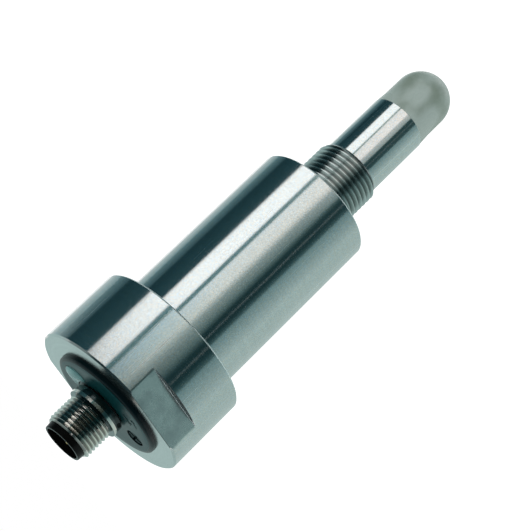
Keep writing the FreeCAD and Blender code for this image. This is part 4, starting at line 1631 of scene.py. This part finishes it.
@dataclass
class Connector:
    """Plug connector: threaded metal shell, seal ring, keyed insert and contact pins."""

    levels: Levels
    step_radius: float = 6.6 * MM
    step_height: float = 1.5 * MM
    flange_gap: float = 0.6 * MM
    flange_radius: float = 6.75 * MM
    flange_height: float = 0.9 * MM
    neck_radius: float = 5.35 * MM
    neck_height: float = 0.3 * MM
    thread_crest: float = 6.0 * MM
    thread_root: float = 5.4 * MM
    thread_pitch: float = 1.0 * MM
    bore_radius: float = 4.9 * MM
    spigot_radius: float = 5.2 * MM
    spigot_bore: float = 4.2 * MM
    spigot_reach: float = 4.1 * MM
    collar_radius: float = 5.15 * MM
    collar_mouth: float = 5.0 * MM
    cup_radius: float = 4.4 * MM
    cup_depth: float = 8.8 * MM
    key_width: float = 1.0 * MM
    key_depth: float = 0.6 * MM
    key_below_mouth: float = 0.8 * MM
    pin_radius: float = 0.5 * MM
    pin_circle: float = 2.5 * MM
    pin_first_degrees: float = 45.0
    pin_count: int = 4
    pin_segments: int = 28
    pin_hole_segments: int = 20
    tip_length: float = 0.45 * MM
    tip_steps: int = 7
    edge: float = 0.08 * MM
    insert_edge: float = 0.1 * MM
    insert_gap: float = 0.01 * MM
    key_bevel: float = 0.15 * MM
    key_sunk: float = 0.1 * MM
    run_out: float = 0.5 * MM
    level_normal: float = 0.5
    ring_steps: int = 20
    ring_sharp: float = math.radians(60)

    def heights(self) -> tuple[float, float, float, float, float]:
        """Works out the shell's heights.

        Returns:
            Spigot end, step bottom, flange bottom, flange top and thread bottom.
        """
        step = self.levels.cap_top + self.flange_gap
        flange = step + self.step_height
        top = flange + self.flange_height
        return self.levels.cap_top - self.spigot_reach, step, flange, top, top + self.neck_height

    def shell(self) -> bpy.types.Object:
        """Builds the threaded shell.

        Returns:
            The shell.
        """
        spigot, step, flange, flange_top, thread_bottom = self.heights()
        top, axis = self.levels.shell_top, self.levels.plug_axis
        corners = [
            (self.thread_root, top), (self.bore_radius, top), (self.bore_radius, step),
            (self.spigot_bore, step), (self.spigot_bore, spigot), (self.spigot_radius, spigot),
            (self.spigot_radius, step), (self.step_radius, step), (self.step_radius, flange),
            (self.flange_radius, flange), (self.flange_radius, flange_top), (self.neck_radius, flange_top),
            (self.neck_radius, thread_bottom), (self.thread_root, thread_bottom)]
        closed = rounded([(self.thread_root, (top + thread_bottom) / 2), *corners], self.edge)
        within = [i for i, point in enumerate(closed) if point[0] < self.thread_root - MERGE_DISTANCE]
        surface = Surface()
        surface.turn([corners[0], *closed[within[0]:within[-1] + 1], corners[-1]], PLUG_SEGMENTS, axis, False)
        thread = ScrewThread(
            "connector_thread", self.thread_crest, self.thread_root, self.thread_pitch, thread_bottom,
            top - thread_bottom, self.run_out, PLUG_SEGMENTS, axis)
        surface.add_mesh(thread.mesh(Finish.nickel_thread.material(axis)), 1)
        finishes = (Finish.nickel_plate, Finish.nickel_thread, Finish.nickel_shade)
        piece = surface.piece("connector_shell_skin", finishes, centre=axis)
        dress_faces(piece, finishes, self.face_finish)
        return place(piece, BODY, "connector_shell")

    def face_finish(self, polygon: bpy.types.MeshPolygon) -> Finish | None:
        """Finish of a face given painted shade: below the flange, on its top face and on the neck above it.

        Args:
            polygon: The face.

        Returns:
            Its finish, or None where it keeps its own.
        """
        _, _, flange, flange_top, thread_bottom = self.heights()
        height, around = polygon.center.z, (polygon.center - self.levels.plug_axis).xy.length
        below = height < flange + self.edge / 2 and around > self.neck_radius
        above = flange_top - self.edge < height < thread_bottom + MERGE_DISTANCE
        inward = polygon.normal.z > self.level_normal or around < self.flange_radius - self.edge
        # Painted shade: these faces get the dark copy of the nickel
        if below or (above and inward and around > self.bore_radius + MERGE_DISTANCE):
            return Finish.nickel_shade
        return None

    def pin_axes(self) -> list[Vector]:
        """Axes of the contact pins."""
        degrees = [self.pin_first_degrees + 360.0 * i / self.pin_count for i in range(self.pin_count)]
        return [self.levels.plug_axis + polar(self.pin_circle, angle) for angle in degrees]

    def key_loop(self, height: float) -> Loop:
        """Works out the outline of the key in the insert's cup.

        Args:
            height: Height of the loop.

        Returns:
            The loop.
        """
        turn = Matrix.Rotation(math.radians(self.pin_first_degrees + 180.0 / self.pin_count), 4, "Z")
        half, bevel = self.key_width / 2, self.key_bevel
        inner, outer = self.cup_radius - self.key_depth, self.cup_radius + self.key_sunk
        corners = [(inner, -half + bevel), (inner + bevel, -half), (outer, -half), (outer, half),
                   (inner + bevel, half), (inner, half - bevel)]
        return [self.levels.plug_axis + turn @ Vector((x, y, height)) for x, y in corners]

    def insert(self) -> bpy.types.Object:
        """Builds the plastic insert with its key.

        Returns:
            The insert.
        """
        spigot, step = self.heights()[:2]
        top, mouth, axis = self.levels.shell_top, self.levels.mouth, self.levels.plug_axis
        floor = mouth - self.cup_depth
        body, foot = self.bore_radius - self.insert_gap, self.spigot_bore - self.insert_gap
        closed = rounded([
            (self.cup_radius, floor), (self.cup_radius, mouth), (self.collar_mouth, mouth),
            (self.collar_radius, top), (body, top), (body, step), (foot, step), (foot, spigot), (0.0, spigot),
            (0.0, floor)], self.insert_edge)
        outline = [p for p in closed if p[0] > MERGE_DISTANCE]
        surface = Surface()
        surface.turn(outline, PLUG_SEGMENTS, axis, False)
        for radius, height in (outline[0], outline[-1]):
            holes = [circle(pin, self.pin_radius, height, self.pin_hole_segments) for pin in self.pin_axes()]
            surface.plate(circle(axis, radius, height, PLUG_SEGMENTS), holes)
        for pin in self.pin_axes():
            size = self.pin_radius
            ends = [circle(pin, size, height, self.pin_hole_segments) for height in (spigot, floor)]
            surface.tower(ends)
        surface.prism(self.key_loop(floor - self.key_sunk), self.key_loop(mouth - self.key_below_mouth))
        piece = surface.piece("connector_insert_skin", [Finish.insert_black_plastic])
        return place(piece, BODY, "connector_insert")

    def pin(self, number: int, axis: Vector) -> bpy.types.Object:
        """Builds one contact pin with its rounded tip.

        Args:
            number: Number of the pin, from 1.
            axis: Point on its axis.

        Returns:
            The pin.
        """
        node = f"contact_pin_{number}"
        low, high = (corner.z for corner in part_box(node))
        outline: Outline = [(0.0, low), (self.pin_radius, low)]
        for step in range(self.tip_steps + 1):
            angle = math.pi / 2 * step / self.tip_steps
            height = high - self.tip_length * (1 - math.sin(angle))
            outline.append((max(0.0, self.pin_radius * math.cos(angle)), height))
        surface = Surface()
        surface.turn(outline, self.pin_segments, axis, False)
        piece = surface.piece(node + "_skin", [Finish.contact_gold], SOFT_ANGLE)
        return place(piece, BODY, node)

    def seal(self) -> bpy.types.Object:
        """Builds the ring under the flange.

        Returns:
            The ring.
        """
        low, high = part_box("flange_seal")
        section = (high.z - low.z) / 2
        middle, height = (high.x - low.x) / 2 - section, (high.z + low.z) / 2
        angles = [2 * math.pi * i / self.ring_steps for i in range(self.ring_steps)]
        surface = Surface()
        surface.turn([(middle + section * math.cos(a), height + section * math.sin(a)) for a in angles],
                     PLUG_SEGMENTS, self.levels.plug_axis)
        piece = surface.piece("flange_seal_skin", [Finish.seal_rubber], self.ring_sharp)
        return place(piece, BODY, "flange_seal")

    def build(self) -> list[bpy.types.Object]:
        """Builds every piece of the connector.

        Returns:
            The shell, the insert, the pins and the ring.
        """
        pieces = [self.shell(), self.insert()]
        pieces += [self.pin(number, axis) for number, axis in enumerate(self.pin_axes(), start=1)]
        return [*pieces, self.seal()]


def dress_inner_nodes() -> None:
    """Gives every node that is still shown the finish of its slot."""
    slots = {row["node"]: row["material_slot"] for row in frame["record"]["subparts"]}
    for name, node in frame["nodes"].items():
        if node.hide_render:
            continue
        finish = Finish[slots[name]]
        if not node.material_slots:
            node.data.materials.append(finish.material())
        for slot in node.material_slots:
            slot.material = finish.material()
        log.info("%s keeps its own shape, in %s", name, finish.name)


# Studio

@dataclass(frozen=True)
class Card:
    """Upright curved card that the metal reflects, fading from its start to its end.

    Angles and elevations are in degrees; angles are measured from the camera's azimuth.
    """

    name: str
    start: float
    end: float
    colour: Colour
    end_colour: Colour
    low: float = -60.0
    high: float = 12.0
    distance: float = 0.42


@dataclass
class Studio:
    """White surroundings, a pale floor, a soft lamp and cards round the object."""

    camera_azimuth: float = 30.4
    floor_height: float = -0.60
    floor_size: float = 6.0
    lamp_distance: float = 0.42
    lamp_span: tuple[float, float] = (35.0, 62.0)
    lamp_elevation: float = -21.5
    lamp_height: float = 0.26
    lamp_radiance: float = 0.33
    ambient: float = 0.85
    floor_colour: Colour = (0.86, 0.87, 0.87)
    floor_glow: float = 0.45
    card_step: float = 3.0
    card_reach: float = 1.3
    cards: tuple[Card, ...] = (
        Card("rim_card", -196.0, -155.0, (0.36, 0.43, 0.42), (0.53, 0.64, 0.62)),
        Card("grey_card", -155.0, -95.0, (0.53, 0.64, 0.62), (0.51, 0.645, 0.62)),
        Card("grey_fade_card", -95.0, -51.5, (0.53, 0.66, 0.64), (0.18, 0.30, 0.31)),
        Card("dark_card", -51.5, -22.5, (0.010, 0.037, 0.042), (0.014, 0.041, 0.046), -24.0, 40.0),
        Card("dark_low_card", -51.5, -22.5, (0.042, 0.090, 0.095), (0.032, 0.072, 0.076), -80.0, -24.0),
        Card("shade_card", -61.0, -50.0, (0.26, 0.38, 0.385), (0.052, 0.112, 0.118), -24.0, 12.0, 0.41),
        Card("shade_end_card", -50.0, -42.5, (0.052, 0.112, 0.118), (0.010, 0.037, 0.042), -24.0, 12.0, 0.41),
        Card("dusk_rise_card", -28.5, -19.0, (0.018, 0.050, 0.055), (0.15, 0.235, 0.235), -24.0, -4.2, 0.41),
        Card("teal_rise_card", 92.0, 110.0, (0.017, 0.048, 0.057), (0.066, 0.136, 0.157), -80.0, -4.2, 0.41),
        Card("glint_card", -36.9, -36.1, (0.30, 0.34, 0.34), (0.30, 0.34, 0.34), -60.0, -5.0, 0.40),
        Card("dusk_card", -22.5, -6.0, (0.10, 0.175, 0.175), (0.34, 0.43, 0.42), -24.0, -4.2),
        Card("warm_fade_card", -6.0, 5.0, (0.34, 0.43, 0.42), (1.08, 1.08, 1.02), -24.0, -10.7),
        Card("cool_fade_card", -6.0, 5.0, (0.30, 0.40, 0.40), (0.66, 0.80, 0.77), -10.7, -4.2),
        Card("dusk_low_card", -22.5, -4.0, (0.42, 0.50, 0.49), (0.82, 0.84, 0.83), -42.0, -24.0),
        Card("low_flag_card", -22.5, 66.0, FLAG, FLAG, -60.0, -42.0),
        Card("warm_card", 5.0, 26.5, (1.08, 1.08, 1.02), (1.12, 1.16, 1.16), -24.0, -10.7),
        Card("warm_low_card", -4.0, 27.5, (1.40, 1.30, 1.26), (1.25, 1.22, 1.20), -42.0, -24.0),
        Card("cool_card", 5.0, 26.5, (0.66, 0.80, 0.77), (0.58, 0.84, 0.93), -10.7, -4.2),
        Card("olive_card", -22.5, 30.0, (0.014, 0.020, 0.015), (0.040, 0.048, 0.034), -4.2, 20.0),
        Card("flag_card", -75.0, 66.0, FLAG, FLAG, 20.0, 42.0),
        Card("plug_card", 30.0, 52.0, (0.040, 0.048, 0.034), (0.030, 0.060, 0.060), 1.0, 20.0),
        Card("plug_side_card", 52.0, 66.0, (0.030, 0.060, 0.060), (0.030, 0.060, 0.060), -4.2, 20.0),
        Card("flange_card", 30.0, 52.0, (0.040, 0.048, 0.034), (0.030, 0.060, 0.060), -4.6, -3.0),
        Card("line_card", 27.0, 34.6, (0.16, 0.30, 0.31), (0.08, 0.22, 0.25), -24.0),
        Card("line_low_card", 28.0, 33.5, (0.40, 0.50, 0.47), (0.36, 0.46, 0.44), -42.0, -24.0),
        Card("teal_card", 65.0, 104.0, (0.030, 0.080, 0.095), (0.012, 0.042, 0.052), -80.0, 40.0),
        Card("teal_fade_card", 104.0, 126.0, (0.040, 0.095, 0.115), (0.14, 0.25, 0.27), -80.0, -4.2),
        Card("plug_fade_card", 104.0, 126.0, (0.10, 0.16, 0.17), (0.55, 0.64, 0.64), -4.2, 40.0),
        Card("edge_card", 126.0, 154.0, (0.28, 0.42, 0.44), (0.66, 0.75, 0.75)),
        Card("sky_card", 126.0, 234.0, (0.51, 0.66, 0.65), (0.44, 0.57, 0.55), 12.0, 41.0),
        Card("ground_card", -90.0, 90.0, FLAG, FLAG, -88.0, -60.0),
        Card("ground_back_card", 90.0, 270.0, (0.80, 0.86, 0.86), (0.80, 0.86, 0.86), -82.0, -60.0),
        Card("ceiling_card", -90.0, 90.0, FLAG, FLAG, 42.0, 88.0),
        Card("ceiling_back_card", 90.0, 270.0, (0.24, 0.30, 0.30), (0.24, 0.30, 0.30), 41.0, 88.0),
    )

    def card_material(self) -> bpy.types.Material:
        """Makes even light in the colour that each corner of a card carries.

        Returns:
            The material, the same one for every card.
        """
        made = bpy.data.materials.get("card_light")
        if made is None:
            made = bpy.data.materials.new("card_light")
            made.use_nodes = True
            graph = NodeGraph(made.node_tree, empty=True)
            colour = graph.add("ShaderNodeAttribute", attribute_name="card_colour").outputs["Color"]
            glow = graph.add("ShaderNodeEmission", {"Color": colour, "Strength": 1.0})
            graph.add("ShaderNodeOutputMaterial", {"Surface": glow.outputs[0]})
        return made

    def add_card(self, card: Card) -> None:
        """Stands one card up round the object, seen in reflections only.

        Args:
            card: The card.
        """
        steps = max(2, round(abs(card.end - card.start) / self.card_step))
        shares = [i / steps for i in range(steps + 1)]
        angles = [math.radians(self.camera_azimuth + card.start + (card.end - card.start) * share)
                  for share in shares]
        surface = Surface()
        rows = []
        for rise in (math.radians(card.low), math.radians(card.high)):
            reach = min(card.distance, card.distance * math.cos(rise) * self.card_reach)
            rows.append(surface.ring(ring_point(reach, angle, reach * math.tan(rise)) for angle in angles))
        for i in range(steps):
            surface.face((rows[0][i], rows[0][i + 1], rows[1][i + 1], rows[1][i]))
        mesh = bpy.data.meshes.new(card.name)
        mesh.from_pydata([tuple(point) for point in surface.points], [], surface.faces)
        layer = mesh.attributes.new("card_colour", "FLOAT_COLOR", "POINT")
        first, last = Vector(card.colour), Vector(card.end_colour)
        for row in rows:
            for share, index in zip(shares, row):
                layer.data[index].color = opaque(tuple(first.lerp(last, share)))
        mesh.materials.append(self.card_material())
        made = added(card.name, mesh)
        made.visible_camera = False
        made.visible_diffuse = False
        made.visible_shadow = False
        made.visible_transmission = False

    def seen(self, graph: NodeGraph) -> Socket:
        """Adds nodes that tell where the surroundings are looked at.

        Args:
            graph: Graph of the floor or of the surroundings.

        Returns:
            1 for what is seen straight, mirrored or through the lens, or else 0.
        """
        rays = graph.add("ShaderNodeLightPath").outputs
        mirrored = graph.math("MAXIMUM", rays["Is Glossy Ray"], rays["Is Transmission Ray"])
        return graph.math("MAXIMUM", rays["Is Camera Ray"], mirrored)

    def floor(self) -> None:
        """Lays the pale floor."""
        half = self.floor_size / 2
        mesh = bpy.data.meshes.new("floor")
        corners = [(-half, -half), (half, -half), (half, half), (-half, half)]
        mesh.from_pydata([(x, y, self.floor_height) for x, y in corners], [], [(0, 1, 2, 3)])
        made = bpy.data.materials.new("floor_white")
        made.use_nodes = True
        graph = NodeGraph(made.node_tree, empty=True)
        matt = graph.add("ShaderNodeBsdfDiffuse", {"Color": opaque(self.floor_colour)}).outputs[0]
        glow = graph.add("ShaderNodeEmission", {"Color": opaque(WHITE), "Strength": self.floor_glow})
        both = graph.add("ShaderNodeAddShader", {0: matt, 1: glow.outputs[0]})
        choice = graph.add("ShaderNodeMixShader", {0: self.seen(graph), 1: matt, 2: both.outputs[0]})
        graph.add("ShaderNodeOutputMaterial", {"Surface": choice.outputs[0]})
        mesh.materials.append(made)
        added("floor", mesh)

    def world(self) -> None:
        """Makes the surroundings white to look at and plain as a light."""
        world = bpy.data.worlds.new("studio_white")
        bpy.context.scene.world = world
        world.use_nodes = True
        graph = NodeGraph(world.node_tree, empty=True)
        strength = graph.ramp(self.seen(graph), 0.0, 1.0, self.ambient, 1.0)
        back = graph.add("ShaderNodeBackground", {"Color": opaque(WHITE), "Strength": strength})
        graph.add("ShaderNodeOutputWorld", {"Surface": back.outputs[0]})

    def lamp(self) -> None:
        """Hangs the soft lamp that faces the object."""
        start, end = self.lamp_span
        data = bpy.data.lights.new("band_softbox", "AREA")
        data.shape = "RECTANGLE"
        data.size = 2 * self.lamp_distance * math.tan(math.radians(end - start) / 2)
        data.size_y = self.lamp_height
        data.energy = self.lamp_radiance * math.pi * data.size * data.size_y
        made = added("band_softbox", data)
        rise = math.radians(self.lamp_elevation)
        around = math.radians(self.camera_azimuth + (start + end) / 2)
        reach, height = self.lamp_distance * math.cos(rise), self.lamp_distance * math.sin(rise)
        made.location = ring_point(reach, around, height)
        made.rotation_euler = (-made.location).to_track_quat("-Z", "Y").to_euler()
        made.visible_camera = False

    def build(self) -> None:
        """Sets the whole studio up."""
        self.world()
        self.floor()
        for card in self.cards:
            self.add_card(card)
        self.lamp()


@dataclass(frozen=True)
class PhotoCamera:
    """Camera at the photograph's viewing angle."""

    position: tuple[float, float, float] = (0.319623, 0.184748, 0.155435)
    azimuth: float = 30.40
    elevation: float = 20.297
    roll: float = -134.227
    lens: float = 116.833
    sensor: float = 36.0
    nearest: float = 0.01
    farthest: float = 20.0

    def build(self) -> None:
        """Adds the camera and makes it the scene's."""
        data = bpy.data.cameras.new("photo_camera")
        data.lens, data.sensor_width = self.lens, self.sensor
        data.clip_start, data.clip_end = self.nearest, self.farthest
        made = added("photo_camera", data)
        around, rise, roll = (math.radians(a) for a in (self.azimuth, self.elevation, self.roll))
        back = Vector((math.cos(rise) * math.cos(around), math.cos(rise) * math.sin(around), math.sin(rise)))
        level = Vector((0.0, 0.0, 1.0)).cross(back).normalized()
        upright = back.cross(level)
        right = level * math.cos(roll) + upright * math.sin(roll)
        up = back.cross(right)
        turn = Matrix((right, up, back)).transposed().to_4x4()
        made.matrix_world = Matrix.Translation(self.position) @ turn
        bpy.context.scene.camera = made


def main() -> None:
    """Builds the sensor, the studio and the camera, in that order."""
    logging.basicConfig(level=logging.INFO, format="%(message)s")
    levels = Levels()
    cap = EndCap(levels)
    assemblies = (Housing(levels), SensingCap(levels), cap, StatusLens(levels, cap), TrimmerScrew(levels),
                  Connector(levels))
    for assembly in assemblies:
        for piece in assembly.build():
            log.info("%s has %d faces", piece.name, len(piece.data.polygons))
    dress_inner_nodes()
    Studio().build()
    PhotoCamera().build()
    bpy.context.scene.view_settings.view_transform = "Standard"


if __name__ == "__main__":
    main()
